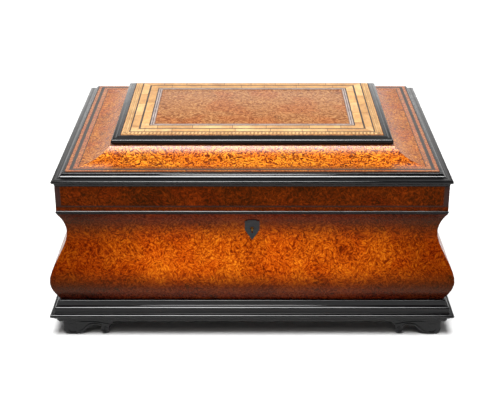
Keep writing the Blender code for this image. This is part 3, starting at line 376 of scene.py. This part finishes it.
class Shape:
    """Gathers solids into one mesh, which then becomes a piece that rides on a body."""

    def __init__(self):
        self.mesh = bmesh.new()

    def loft(self, sections):
        """Faces between sections of equal length, with a face over the first and the last."""
        rows = [[self.mesh.verts.new(point) for point in section] for section in sections]
        count = len(rows[0])
        for low, high in zip(rows, rows[1:]):
            for k in range(count):
                following = (k + 1) % count
                self.mesh.faces.new((low[k], low[following], high[following], high[k]))
        self.mesh.faces.new(rows[0][::-1])
        self.mesh.faces.new(rows[-1])
        return self

    def block(self, low, high):
        """A box between two opposite corners."""
        corners = ((low[0], low[1]), (high[0], low[1]), (high[0], high[1]), (low[0], high[1]))
        return self.loft([[(x, y, z) for x, y in corners] for z in (low[2], high[2])])

    def slab(self, outline, low, high):
        """An outline in the XY plane between two heights."""
        return self.loft([[(x, y, z) for x, y in outline] for z in (low, high)])

    def turned(self, profile, origin, axis, sides=24):
        """A solid of revolution from (radius, height) points; the ends may have zero radius."""
        turn = Vector((0, 0, 1)).rotation_difference(Vector(axis).normalized()).to_matrix()
        least = 0.00002                # keeps a pointed end's corners apart
        sections = []
        for radius, height in profile:
            radius = max(radius, least)
            section = []
            for k in range(sides):
                angle = 2 * math.pi * k / sides
                point = Vector((radius * math.cos(angle), radius * math.sin(angle), height))
                section.append(turn @ point + Vector(origin))
            sections.append(section)
        return self.loft(sections)

    def rope(self, path, radii):
        """A round strand along a path in an upright plane, with a radius for each point."""
        points = [Vector(point) for point in path]
        sides = 8
        sections = []
        for i, point in enumerate(points):
            before, after = points[max(i - 1, 0)], points[min(i + 1, len(points) - 1)]
            along = (after - before).normalized()
            beside = Vector((0, 1, 0)) if abs(along.y) < 0.9 else Vector((1, 0, 0))
            side = along.cross(beside)
            side.normalize()
            other = along.cross(side)
            section = []
            for k in range(sides):
                angle = 2 * math.pi * k / sides
                section.append(point + radii[i] * (math.cos(angle) * side + math.sin(angle) * other))
            sections.append(section)
        return self.loft(sections)

    def piece(self, name, body, slot, material, smooth=35.0, replaces=()):
        """Make the object: smooth is the angle in degrees above which an edge stays sharp, or 0 for flat."""
        bmesh.ops.recalc_face_normals(self.mesh, faces=self.mesh.faces)
        mesh = bpy.data.meshes.new(name)
        self.mesh.to_mesh(mesh)
        self.mesh.free()
        mesh.materials.append(material)
        if smooth:
            mesh.shade_smooth()
            mesh.set_sharp_from_angle(angle=math.radians(smooth))
        made = bpy.data.objects.new(name, mesh)
        bpy.context.scene.collection.objects.link(made)
        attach(made, body)
        if replaces:
            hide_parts(*replaces)


def soften(obj, width):
    """Round an object's sharper edges over a width."""
    edge = obj.modifiers.new("soft_edges", "BEVEL")
    edge.width = width
    edge.segments = 2
    edge.limit_method = "ANGLE"
    edge.angle_limit = math.radians(40)
    edge.harden_normals = False


def smoothing_nodes():
    """Geometry nodes that join a CAD node's split corners and shade its round faces smooth."""
    tree = bpy.data.node_groups.new("joined_and_smooth", "GeometryNodeTree")
    for direction in ("INPUT", "OUTPUT"):
        tree.interface.new_socket("Geometry", in_out=direction, socket_type="NodeSocketGeometry")
    start = tree.nodes.new("NodeGroupInput")
    end = tree.nodes.new("NodeGroupOutput")
    joined = tree.nodes.new("GeometryNodeMergeByDistance")
    joined.inputs["Distance"].default_value = 0.00001
    plain = tree.nodes.new("GeometryNodeRemoveAttribute")
    plain.inputs["Name"].default_value = "custom_normal"
    faces = tree.nodes.new("GeometryNodeSetShadeSmooth")
    edges = tree.nodes.new("GeometryNodeSetShadeSmooth")
    edges.domain = "EDGE"
    angle = tree.nodes.new("GeometryNodeInputMeshEdgeAngle")
    sharp = tree.nodes.new("FunctionNodeCompare")
    sharp.data_type = "FLOAT"
    sharp.operation = "GREATER_THAN"
    sharp.inputs["B"].default_value = math.radians(32)
    edges.inputs["Shade Smooth"].default_value = False
    links = tree.links
    links.new(start.outputs[0], joined.inputs["Geometry"])
    links.new(joined.outputs[0], plain.inputs["Geometry"])
    links.new(plain.outputs[0], faces.inputs["Geometry"])
    links.new(faces.outputs[0], edges.inputs["Geometry"])
    links.new(angle.outputs["Unsigned Angle"], sharp.inputs["A"])
    links.new(sharp.outputs["Result"], edges.inputs["Selection"])
    links.new(edges.outputs[0], end.inputs[0])
    return tree


SMOOTHING = smoothing_nodes()


def dress(names, material, bevel=0.0):
    """Give CAD nodes their finish, smooth shading and, where wanted, softened edges."""
    for name in names:
        node = NODES[name]
        node.data.materials.clear()
        node.data.materials.append(material)
        node.modifiers.new("joined_and_smooth", "NODES").node_group = SMOOTHING
        if bevel:
            soften(node, bevel)


CORNERS = ((-1, -1), (1, -1), (1, 1), (-1, 1))
SIDES = ("front", "right", "back", "left")


def corner(index, offset, z):
    """A point on the mitre line of a corner, at an offset from the frieze's outer faces."""
    sign_x, sign_y = CORNERS[index % 4]
    return Vector((sign_x * (HALF_X + offset), sign_y * (HALF_Y + offset), z))


def mitred_strip(shape, side, profile):
    """A closed (offset, height) profile carried along one side of the case, mitred at both ends."""
    joint = 0.00005                    # half of the gap at a mitre
    start = [corner(side, offset, z) for offset, z in profile]
    end = [corner(side + 1, offset, z) for offset, z in profile]
    along = (end[0] - start[0]).normalized() * joint
    return shape.loft([[point + along for point in start], [point - along for point in end]])


# ---------------------------------------------------------------- case


def dress_case():
    """The case: burl walls with painted shade at the hems and the ends, mouldings, boards and fittings."""
    low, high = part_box("case_front")
    # Heights of the painted shade at the walls' low and high hems.
    low_full, low_end = low.z + 0.030, low.z + 0.072
    high_start, high_full = high.z - 0.056, high.z - 0.012
    shaded_hems = (low_full, low_end, high_start, high_full)
    inward = ((0, 1, 0), (-1, 0, 0), (0, -1, 0), (1, 0, 0))
    for index, side in enumerate(SIDES):
        finish = burl(
            f"wall_burl_{side}", AMBOYNA, 11 + 3 * index, ends=(0.14, 0.37), shaded_hems=shaded_hems, grain=1.2,
            figure=0.16, patches=0.38, tint=GOLDEN, lined=inward[index],
        )
        dress([f"case_{side}"], finish)
    dress(["base_moulding"], EBONY, 0.0010)
    dress(["rim_moulding"], EBONY, 0.0004)
    dress(["bottom_board"], LINING)
    dress(["lever_partition", "control_partition"], LINING, 0.0008)
    dress(["control_board"], burl("control_board_burl", FRIEZE_AMBOYNA, 31), 0.0004)
    dress(["bearer_front", "bearer_back"], CARCASE)
    dress(["lock_body"], BRASS, 0.0004)
    dress(["escutcheon"], ESCUTCHEON_IRON, 0.0004)
    dress(["lock_bolt"], STEEL)
    leaves = [f"hinge_{side}_{part}_leaf" for side in ("left", "right") for part in ("case", "lid")]
    dress(leaves, BRASS, 0.0002)


def arc(centre_x, centre_z, radius, start, end, steps):
    """Points along an arc, from one angle in degrees to another."""
    angles = [math.radians(start + (end - start) * i / steps) for i in range(steps + 1)]
    return [(centre_x + radius * math.cos(a), centre_z + radius * math.sin(a)) for a in angles]


def foot_outline():
    """A bracket foot seen from outside: round heel at the corner, hollow neck, small scroll."""
    heel = [(0.0, FOOT_TOP)] + arc(0.0130, 0.0130, 0.0130, 180, 270, 8)
    rise = [(0.0240, 0.0), (0.0300, 0.0010), (0.0350, 0.0034), (0.0400, 0.0070), (0.0445, 0.0115)]
    neck = [(0.0490, 0.0160), (0.0535, 0.0192), (0.0590, 0.0208), (0.0645, 0.0202)]
    scroll = arc(0.0790, 0.0112, 0.0078, 140, 380, 12)
    return heel + rise + neck + scroll + [(0.0885, 0.0190), (0.0930, 0.0235), (0.0985, FOOT_TOP)]


def spiral(centre_x, centre_z, outer, inner, start, turns):
    """Points of a volute from its outer end in to its eye, with the strand's radius at each."""
    thick, thinner_by = 0.0016, 0.0009
    steps = 40
    path, radii = [], []
    for i in range(steps + 1):
        share = i / steps
        reach = outer + (inner - outer) * share
        angle = math.radians(start) + 2 * math.pi * turns * share
        path.append((centre_x + reach * math.cos(angle), centre_z + reach * math.sin(angle)))
        radii.append(thick - thinner_by * share)
    return path, radii


def carve_foot(corner_name, sign_x, sign_y):
    """A scroll foot: two bracket boards mitred at the corner, with volutes carved on their faces."""
    low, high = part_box(f"foot_{corner_name}")
    outer_x = max(abs(low.x), abs(high.x))
    outer_y = max(abs(low.y), abs(high.y))
    outline = foot_outline()
    heel_eye, scroll_eye = (0.0170, 0.0150), (0.0790, 0.0116)
    neck_path = [(0.0270, 0.0055), (0.0350, 0.0090), (0.0430, 0.0160), (0.0500, 0.0212),
                 (0.0590, 0.0236), (0.0670, 0.0222), (0.0730, 0.0180)]
    brow_path = [(0.0300, 0.0262), (0.0450, 0.0272), (0.0600, 0.0270), (0.0760, 0.0240),
                 (0.0880, 0.0215)]
    strands = [
        spiral(*heel_eye, 0.0115, 0.0020, -60, -1.5),
        spiral(*scroll_eye, 0.0062, 0.0012, 190, 1.5),
        (neck_path, [0.0010, 0.0014, 0.0017, 0.0018, 0.0017, 0.0014, 0.0010]),
        (brow_path, [0.0009, 0.0012, 0.0013, 0.0012, 0.0009]),
    ]
    thickness = 0.0240
    face_depth = 0.0008                # this and the next three are depths in from the outer faces
    chamfer_depth = face_depth + 0.0012
    strand_depth = 0.0010
    eye_depth = 0.0012
    inset = 0.0010                     # the face is this much smaller than the outline at its ends
    middle, half_long, half_tall = (0.0480, 0.0170), 0.045, 0.015
    face = [
        (u + (middle[0] - u) * inset / half_long, z + (middle[1] - z) * inset / half_tall)
        for u, z in outline
    ]
    shape = Shape()
    for across_x in (True, False):

        def at(u, z, depth):
            """A point on the board: u along it from the corner, depth in from its outer face."""
            if across_x:
                return (sign_x * (outer_x - u), sign_y * (outer_y - depth), z)
            return (sign_x * (outer_x - depth), sign_y * (outer_y - u), z)

        shape.loft([
            [at(u, z, face_depth) for u, z in face],
            [at(u, z, chamfer_depth) for u, z in outline],
            [at(u, z, thickness) for u, z in outline],
        ])
        for path, radii in strands:
            shape.rope([at(u, z, strand_depth) for u, z in path], radii)
        outward = (0, sign_y, 0) if across_x else (sign_x, 0, 0)
        heel_button = [(0.0022, 0.0), (0.0018, 0.0012), (0.0, 0.0018)]
        scroll_button = [(0.0016, 0.0), (0.0012, 0.0010), (0.0, 0.0014)]
        shape.turned(heel_button, at(*heel_eye, eye_depth), outward, 12)
        shape.turned(scroll_button, at(*scroll_eye, eye_depth), outward, 12)
    name = f"foot_{corner_name}"
    shape.piece(f"carved_{name}", "case", "ebonised_wood", CARVED, smooth=40, replaces=(name,))


dress_case()
for back_or_front, sign_y in (("front", -1), ("back", 1)):
    for left_or_right, sign_x in (("left", -1), ("right", 1)):
        carve_foot(f"{back_or_front}_{left_or_right}", sign_x, sign_y)

# ---------------------------------------------------------------- lid


def dress_lid():
    frieze = burl("frieze_burl", FRIEZE_AMBOYNA, 41, specular=0.15, tint=GOLDEN, patches=0.45)
    dress(["lid_frieze"], frieze)
    dress(["lid_moulding", "plateau_moulding"], EBONY, 0.0009)
    dress(["lid_slope"], LINING)
    dress(["strike_plate"], BRASS, 0.0002)


def slope_curve(steps, lift):
    """The hollow of the lid from the border up to the upper moulding, raised by lift."""
    rise = SLOPE_HIGH.z - 0.0013 - BORDER_Z
    run = BORDER_IN - SLOPE_HEAD
    curve = []
    for i in range(steps + 1):
        t = i / steps
        curve.append((BORDER_IN - run * t, BORDER_Z + rise * t * t * (0.55 + 0.45 * t) + lift))
    return curve


def lay_slope():
    """The burl on the hollow slope. The front's figure is brighter and stronger than the other sides'."""
    outer = slope_curve(28, VENEER)
    under = [(offset, z - 2 * VENEER) for offset, z in reversed(outer)]
    for index, side in enumerate(SIDES):
        shape = mitred_strip(Shape(), index, outer + under)
        palette, specular, figure = LID_AMBOYNA, 0.07, 0.34
        if side == "front":
            palette, specular, figure = BRIGHT_AMBOYNA, 0.22, 0.46
        finish = burl(
            f"slope_burl_{side}", palette, 51 + 5 * index, metallic=0.0, specular=specular, grain=1.25,
            figure=figure, patches=0.2,
        )
        shape.piece(f"slope_veneer_{side}", "lid", "burl_veneer", finish)


def lay_border():
    """The flat border: two orange bands, a dark strip between them and a dark string inside."""
    amber = {
        side: burl(f"band_burl_{side}", LID_AMBOYNA, 71 + index, specular=0.25, grain=1.6)
        for index, side in enumerate(SIDES)
    }
    grey = straight_wood("grey_strip", srgb(62, 54, 50), srgb(34, 29, 28), "X", 15)
    string = straight_wood("dark_string", srgb(46, 24, 14), srgb(24, 13, 9), "X", 17)
    bands = (
        ("outer_band", -0.0176, -0.0237, None),
        ("grey_strip", -0.0237, -0.0300, grey),
        ("inner_band", -0.0300, -0.0379, None),
        ("inner_string", -0.0379, -0.0399, string),
    )
    for index, side in enumerate(SIDES):
        for name, outer, inner, finish in bands:
            profile = [
                (outer, BORDER_Z - VENEER),
                (outer, BORDER_Z + VENEER),
                (inner, BORDER_Z + VENEER),
                (inner, BORDER_Z - VENEER),
            ]
            shape = mitred_strip(Shape(), index, profile)
            shape.piece(f"{name}_{side}", "lid", "burl_veneer", finish or amber[side], smooth=0)


def lay_frieze():
    """A dark string near the frieze's lower edge with upright ends, and the crossbanding outside it."""
    string = straight_wood("frieze_string", srgb(44, 18, 10), srgb(24, 10, 7), "X", 19)
    banding = burl("frieze_banding", FRIEZE_AMBOYNA, 47, specular=0.15, grain=1.5, tint=GOLDEN)
    dark_end = straight_wood("frieze_end", srgb(50, 22, 14), srgb(28, 12, 9), "Z", 23)
    low, high = FRIEZE_LOW.z, FRIEZE_HIGH.z
    string_low, string_high = low + 0.0075, low + 0.0100
    upright = 0.0092                   # width of the upright ends
    for index, side in enumerate(SIDES):
        shape = Shape()
        mitred_strip(shape, index, frieze_face(string_low, string_high))
        shape.piece(f"frieze_string_{side}", "lid", "dark_burl_veneer", string, smooth=0)
        shape = Shape()
        mitred_strip(shape, index, frieze_face(low + 0.0004, string_low - 0.0001))
        shape.piece(f"frieze_banding_{side}", "lid", "dark_burl_veneer", banding, smooth=0)
        ends = Shape()
        half = HALF_X if side in ("front", "back") else HALF_Y
        depth = HALF_Y if side in ("front", "back") else HALF_X
        for sign in (-1, 1):
            across = sorted((sign * (half - upright), sign * (half - 0.0003)))
            outward = 1 if side in ("right", "back") else -1
            out = sorted((outward * (depth - 0.0010), outward * (depth + VENEER)))
            low_z, high_z = string_high + 0.0001, high - 0.0002
            if side in ("front", "back"):
                ends.block((across[0], out[0], low_z), (across[1], out[1], high_z))
            else:
                ends.block((out[0], across[0], low_z), (out[1], across[1], high_z))
        ends.piece(f"frieze_ends_{side}", "lid", "dark_burl_veneer", dark_end, smooth=0)


def frieze_face(low, high):
    """The profile of a strip laid on the frieze between two heights, a millimetre into the wood."""
    return [(-0.0010, low), (VENEER, low), (VENEER, high), (-0.0010, high)]


dress_lid()
lay_slope()
lay_border()
lay_frieze()

# ---------------------------------------------------------------- top panel


PANEL_X, PANEL_Y = PANEL_HIGH.x, PANEL_HIGH.y
BACK_SHIFT = 0.0155                # the outer chequer runs round three sides, so the rest moves back
THREE_SIDES = (0, 1, 3)            # front, right and left


def frame_corners(inset):
    """The inlay's rectangle at an inset from the panel's edge, from front left, anticlockwise."""
    x, front = PANEL_X - inset, -PANEL_Y + inset
    back = PANEL_Y - max(inset - BACK_SHIFT, 0.0008)
    return [(-x, front), (x, front), (x, back), (-x, back)]


def inlay_block(shape, side, outer, inner, reach=None, height=VENEER):
    """A length of inlay along one side between two insets, cut square at reach or mitred at its ends."""
    a, b = frame_corners(outer)[side], frame_corners(outer)[(side + 1) % 4]
    d, c = frame_corners(inner)[side], frame_corners(inner)[(side + 1) % 4]
    along = 0 if side in (0, 2) else 1
    if reach:
        low, high = reach

        def held(point, start, end):
            """The point of the line from start to end at a distance along it, kept between the two."""
            span = sorted((start[along], end[along]))
            value = min(max(point, span[0]), span[1])
            return (value, start[1]) if along == 0 else (start[0], value)

        first, last = (low, high) if b[along] > a[along] else (high, low)
        a, b, c, d = held(first, a, b), held(last, a, b), held(last, d, c), held(first, d, c)
    top = PANEL_HIGH.z
    shape.slab([a, b, c, d], top - VENEER, top + height)


def side_span(side, inset):
    """Where one side of the inlay's rectangle at an inset starts and ends, along its own axis."""
    along = 0 if side in (0, 2) else 1
    corners = frame_corners(inset)
    return sorted((corners[side][along], corners[(side + 1) % 4][along]))


def lay_frame(name, outer, inner, material, sides=(0, 1, 2, 3), height=VENEER):
    """A line of inlay round the panel between two insets, mitred at its corners."""
    shape = Shape()
    for side in sides:
        inlay_block(shape, side, outer, inner, None, height)
    shape.piece(name, "lid", "pale_burl_panel", material, smooth=0)


def lay_blocks(name, outer, inner, tones, joint):
    """A light band made of blocks of slightly different tone, with dark joints between them."""
    lay_frame(f"{name}_ground", outer, inner, joint, height=VENEER * 0.4)
    shapes = [Shape() for _ in tones]
    half_joint = 0.0006
    beyond = 0.06                      # the end blocks run past the corner and are mitred there
    for side in range(4):
        start, end = side_span(side, inner)
        cuts = [start - beyond]
        place = start + DRAW.uniform(0.004, 0.03)
        while place < end - 0.01:
            cuts.append(place)
            place += DRAW.uniform(0.045, 0.085)
        cuts.append(end + beyond)
        for low, high in zip(cuts, cuts[1:]):
            at_back = side == 2
            chosen = shapes[2] if at_back else DRAW.choice(shapes)
            inlay_block(chosen, side, outer, inner, (low + half_joint, high - half_joint))
    for index, (shape, tone) in enumerate(zip(shapes, tones)):
        shape.piece(f"{name}_blocks_{index}", "lid", "pale_burl_panel", tone, smooth=0)


def lay_chequer(name, outer, inner, pitch, material, shift):
    """A row of tiles on three sides, with gaps as long as themselves; shift is a share of the pitch."""
    shape = Shape()
    for side in THREE_SIDES:
        start, end = side_span(side, inner)
        place = start + pitch * shift
        while place + pitch / 2 < end:
            inlay_block(shape, side, outer, inner, (place, place + pitch / 2))
            place += pitch
    shape.piece(name, "lid", "pale_burl_panel", material, smooth=0)


def lay_top():
    """The panel's pale burl field and the inlaid bands round it, from the edge inwards."""
    field = burl(
        "panel_burl", PALE_AMBOYNA, 90, metallic=0.0, specular=0.02, grain=0.9,
        figure=0.36, patches=0.1, lined=(0, 0, -1),
    )
    dress(["top_panel"], field, 0.0004)
    tones = [
        inlay("satinwood_pale", srgb(200, 162, 108), srgb(164, 120, 70), 1),
        inlay("satinwood_gold", srgb(192, 149, 90), srgb(154, 108, 56), 2),
        inlay("satinwood_tan", srgb(182, 138, 82), srgb(142, 98, 52), 3),
    ]
    dark = inlay("dark_stringing", srgb(34, 22, 17), srgb(18, 11, 9), 4)
    joint = inlay("joint_shadow", srgb(110, 72, 44), srgb(70, 42, 26), 5)
    grey = inlay("grey_stringing", srgb(160, 146, 140), srgb(116, 100, 96), 6)
    brown = inlay("brown_ground", srgb(96, 62, 40), srgb(60, 38, 24), 7)

    line, row, pitch = 0.0012, 0.0038, 0.0070
    lay_frame("chequer_ground", 0.0012, 0.0126, brown, THREE_SIDES, VENEER * 0.4)
    for index, inset in enumerate((0.0012, 0.0050, 0.0088)):
        shift = 0.5 * (index % 2)
        lay_chequer(f"chequer_row_{index}", inset + line, inset + row, pitch, tones[0], shift)
    for index, inset in enumerate((0.0012, 0.0050, 0.0088, 0.0126)):
        lay_frame(f"pale_line_{index}", inset, inset + line, tones[index % 2], THREE_SIDES)
    lay_frame("string_outer", 0.0140, 0.0165, dark)
    lay_blocks("light_band_outer", 0.0165, 0.0303, tones, joint)
    lay_frame("string_middle", 0.0303, 0.0338, dark)
    lay_blocks("light_band_inner", 0.0338, 0.0484, tones, joint)
    lay_frame("string_inner", 0.0484, 0.0508, dark)
    lay_frame("grey_line_outer", 0.0508, 0.0535, grey)
    lay_frame("string_fine", 0.0535, 0.0548, dark)
    lay_frame("grey_line_inner", 0.0548, 0.0574, grey)
    lay_frame("string_last", 0.0574, 0.0590, joint)


lay_top()

# ---------------------------------------------------------------- inner lid and movement


def dress_movement():
    frame_wood = straight_wood("inner_frame_wood", srgb(70, 36, 22), srgb(34, 16, 12), "X", 21)
    dress(["inner_lid_frame"], frame_wood)
    dress(["inner_lid_glass"], GLASS)
    dress(["inner_lid_knob"], TURNED_BRASS)
    dress(["bedplate"], BED_IRON, 0.001)
    dress(["comb_base"], BRASS, 0.0006)
    dress(["comb"], COMB_STEEL)
    dress(["barrel_bracket", "centre_bracket", "cylinder_bracket"], BRASS, 0.0005)
    dress(["governor_frame", "endless_cock"], BRASS, 0.0003)
    dress(["winding_arbor", "control_rod", "cylinder_arbor"], STEEL)
    dress(["ratchet_wheel", "tune_snail"], STEEL)
    dress(["lever_pawl", "click", "mainspring"], BLUED)
    dress(["winding_lever"], BRASS, 0.0006)
    dress(["winding_handle"], EBONY)
    dress(["spring_barrel", "cylinder_sleeve"], TURNED_BRASS)
    dress(["great_wheel"], BRASS, 0.0001)
    dress(["governor_wheel_1", "governor_wheel_2", "fan"], BRASS)
    dress(["endless_screw"], STEEL)
    dress(["start_lever", "change_lever"], BRASS, 0.0002)


dress_movement()

# ---------------------------------------------------------------- screws, pins and the spring


def slotted_head(heads, slot_shades, place, axis, radius):
    """A domed screw head standing on place along axis, with a dark bar across it: painted shade for its
    slot.
    """
    tall = radius * 0.5
    profile = [(radius, 0.0), (radius, tall * 0.6), (radius * 0.8, tall * 0.92), (0.0, tall)]
    heads.turned(profile, place, axis, 20)
    along = Vector(axis).normalized()
    across = along.cross(Vector((0.6, 0.7, 0.38))).normalized()
    side = along.cross(across)
    centre = Vector(place) + along * tall * 0.97
    low, high = [], []
    for sign_a, sign_b in ((-1, -1), (1, -1), (1, 1), (-1, 1)):
        point = centre + across * radius * 0.78 * sign_a + side * radius * 0.13 * sign_b
        low.append(point - along * tall * 0.3)
        high.append(point + along * tall * 0.06)
    # The dark bar is painted shade standing in for the cut of the slot.
    slot_shades.loft([low, high])


def fit_screws(name, body, places, axis, radius, material):
    """One piece for a set of screw heads and one for the painted shade of their slots."""
    heads, slot_shades = Shape(), Shape()
    for place in places:
        slotted_head(heads, slot_shades, place, axis, radius)
    heads.piece(name, body, "steel", material)
    slot_shades.piece(f"{name}_slots", body, "steel", SLOT_SHADOW, smooth=0)


def fit_bed_screws():
    """Bolts through the bedplate and screws in the feet of the brackets and the comb base."""
    low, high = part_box("bedplate")
    inset = 0.014
    bolts = [
        (x, y, BED_TOP)
        for x in (low.x + inset, high.x - inset)
        for y in (low.y + inset, high.y - inset)
    ]
    fit_screws("bed_bolts", "case", bolts, (0, 0, 1), 0.0065, STEEL)

    screws = []
    flange = 0.0080                    # height of a bracket's foot above the bedplate
    for name in ("barrel_bracket", "centre_bracket", "cylinder_bracket"):
        low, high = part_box(name)
        for y in (low.y + 0.0030, high.y - 0.0030):
            screws.append(((low.x + high.x) / 2, y, BED_TOP + flange))
    fit_screws("bracket_screws", "case", screws, (0, 0, 1), 0.0026, BLUED)

    count, margin = 9, 0.010
    step = (COMB_HIGH.x - COMB_LOW.x - 2 * margin) / (count - 1)
    y, z = COMB_LOW.y + 0.0080, COMB_HIGH.z
    places = [(COMB_LOW.x + margin + step * i, y, z) for i in range(count)]
    fit_screws("comb_screws", "case", places, (0, 0, 1), 0.0036, BLUED)


def pin_cylinder():
    """The tune pins: short steel bristles set in the cylinder, in rings under the comb's teeth.

    The pins of a ring are drawn at random over six tracks, so they play no tune. The snail that shifts
    the cylinder has eight steps, which these tracks don't match.
    """
    shape = Shape()
    pitch = (COMB_HIGH.x - COMB_LOW.x) / COMB_TEETH
    tracks = 6
    track_pitch = 0.00055
    for ring in range(COMB_TEETH):
        for _ in range(DRAW.randint(14, 26)):
            track = DRAW.randint(0, tracks - 1)
            x = COMB_LOW.x + pitch * (ring + 0.5) + (track - (tracks - 1) / 2) * track_pitch
            angle = DRAW.uniform(0, 2 * math.pi)
            out = Vector((0, math.cos(angle), math.sin(angle)))
            side = Vector((0, -math.sin(angle), math.cos(angle)))
            sections = []
            for reach, half in ((DRUM_RADIUS - 0.0002, 0.00024), (DRUM_RADIUS + 0.0010, 0.00016)):
                centre = Vector((x, AXIS_Y, AXIS_Z)) + out * reach
                sections.append([
                    centre + Vector((half * a, 0, 0)) + side * half * b
                    for a, b in ((-1, -1), (1, -1), (1, 1), (-1, 1))
                ])
            shape.loft(sections)
    shape.piece("tune_pins", "cylinder", "steel", STEEL, smooth=0)


def fit_hinge_screws():
    """Three screws in each case leaf of a hinge, sunk until their heads are level with the rim."""
    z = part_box("rim_moulding")[1].z - 0.0002 - 0.0009
    for side in ("left", "right"):
        low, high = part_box(f"hinge_{side}_case_leaf")
        xs = [low.x + (high.x - low.x) * share for share in (0.2, 0.5, 0.8)]
        places = [(x, low.y + 0.0100, z) for x in xs]
        fit_screws(f"hinge_{side}_case_screws", "case", places, (0, 0, 1), 0.0022, BRASS)


def fit_key_pin():
    """The pin that the key's hollow shank turns on, seen in the keyhole, and the lock's screws."""
    low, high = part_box("lock_body")
    plate_low, plate_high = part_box("escutcheon")
    z = (plate_low.z + plate_high.z) / 2 + 0.00165
    profile = [(0.0011, 0.0), (0.0011, 0.0150), (0.0007, 0.0158), (0.0, 0.0160)]
    pin = Shape().turned(profile, (0, low.y + 0.0010, z), (0, -1, 0), 16)
    pin.piece("lock_key_pin", "case", "brass", BRASS)
    places = [(x, (low.y + high.y) / 2, high.z - 0.0008) for x in (-0.0240, 0.0240)]
    fit_screws("lock_screws", "case", places, (0, 0, 1), 0.0017, STEEL)


def fit_spring():
    """The wire spring that holds the click against the ratchet."""
    low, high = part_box("click")
    x = (low.x + high.x) / 2
    start_y, start_z = high.y + 0.0100, high.z + 0.0060
    long, drop = 0.0180, 0.0040
    path = [(x, start_y - long * i / 10, start_z - drop * (i / 10) ** 2) for i in range(11)]
    Shape().rope(path, [0.0005] * len(path)).piece("click_spring", "case", "blued_steel", BLUED)


SLOT_SHADOW = straight_wood("slot_shadow", srgb(26, 24, 24), srgb(12, 11, 11), "X", 27)
fit_bed_screws()
pin_cylinder()
fit_hinge_screws()
fit_key_pin()
fit_spring()

# ---------------------------------------------------------------- studio

CAMERA_PLACE = (0.0, -2.0566, 1.0672)
CAMERA_TILT = 23.93                # degrees below the horizon
LENS = 78.30                       # millimetres on a sensor 36 mm wide
FRAMING_SHIFT = -0.0043            # the object stands a little right of the picture's middle


def make_camera():
    lens = bpy.data.cameras.new("camera")
    lens.lens = LENS
    lens.sensor_width = 36.0
    lens.shift_x = FRAMING_SHIFT
    lens.clip_start = 0.05
    lens.clip_end = 60.0
    camera = bpy.data.objects.new("camera", lens)
    camera.location = CAMERA_PLACE
    camera.rotation_euler = (math.radians(90 - CAMERA_TILT), 0, 0)
    bpy.context.scene.collection.objects.link(camera)
    bpy.context.scene.camera = camera


def make_floor():
    """A plain pale floor."""
    reach, thickness = 9.0, 0.02
    shape = Shape().block((-reach, -reach, -thickness), (reach, reach, 0.0))
    bmesh.ops.recalc_face_normals(shape.mesh, faces=shape.mesh.faces)
    mesh = bpy.data.meshes.new("floor")
    shape.mesh.to_mesh(mesh)
    shape.mesh.free()
    mesh.materials.append(studio_floor("floor"))
    ground = bpy.data.objects.new("floor", mesh)
    bpy.context.scene.collection.objects.link(ground)


def aimed(light, place, aim):
    """Stand a light at a place and turn it towards a point."""
    light.location = place
    light.rotation_euler = (Vector(aim) - Vector(place)).to_track_quat("-Z", "Y").to_euler()
    bpy.context.scene.collection.objects.link(light)


def make_world():
    """A studio with a white wall behind the object, a white skirting all round and a dark room above."""
    world = bpy.data.worlds.new("studio")
    bpy.context.scene.world = world
    world.use_nodes = True
    nodes, links = world.node_tree.nodes, world.node_tree.links
    direction = nodes.new("ShaderNodeTexCoord").outputs["Generated"]
    parts = nodes.new("ShaderNodeSeparateXYZ")
    links.new(direction, parts.inputs[0])

    def step(source, low, high, start, end):
        """A smooth change from start to end while source goes from low to high."""
        made = nodes.new("ShaderNodeMapRange")
        made.interpolation_type = "SMOOTHSTEP"
        for name, value in zip(("From Min", "From Max", "To Min", "To Max"), (low, high, start, end)):
            made.inputs[name].default_value = value
        links.new(source, made.inputs["Value"])
        return made.outputs[0]

    behind = step(parts.outputs["Y"], 0.10, 0.70, 0.06, 1.5)
    low = step(parts.outputs["Z"], 0.44, 0.62, 1.0, 0.15)
    skirting = step(parts.outputs["Z"], 0.08, 0.26, 1.0, 0.0)
    wall = nodes.new("ShaderNodeMath")
    wall.operation = "MULTIPLY"
    links.new(behind, wall.inputs[0])
    links.new(low, wall.inputs[1])
    level = nodes.new("ShaderNodeMath")
    level.operation = "MAXIMUM"
    links.new(wall.outputs[0], level.inputs[0])
    links.new(skirting, level.inputs[1])
    background = nodes["Background"]
    links.new(level.outputs[0], background.inputs["Strength"])
    background.inputs["Color"].default_value = (1.0, 0.99, 0.98, 1.0)


def make_lights():
    """One very large diffuser above and in front of the object, and a spotlight on its front."""
    diffuser = bpy.data.lights.new("diffuser", "SUN")
    diffuser.energy = 7.0
    diffuser.angle = math.radians(26)
    height = math.radians(70)
    distance = 3
    place = (-0.10, -distance * math.cos(height), distance * math.sin(height))
    aimed(bpy.data.objects.new("diffuser", diffuser), place, (0, 0, 0))

    spot = bpy.data.lights.new("key", "SPOT")
    spot.energy = 22.0
    spot.color = (1.0, 0.96, 0.90)
    spot.spot_size = math.radians(34)
    spot.spot_blend = 1.0
    spot.shadow_soft_size = 0.20
    aimed(bpy.data.objects.new("key", spot), (-0.15, -1.9, 2.0), (-0.03, -0.27, 0.15))


make_camera()
make_floor()
make_world()
make_lights()
bpy.context.scene.view_settings.view_transform = "Standard"
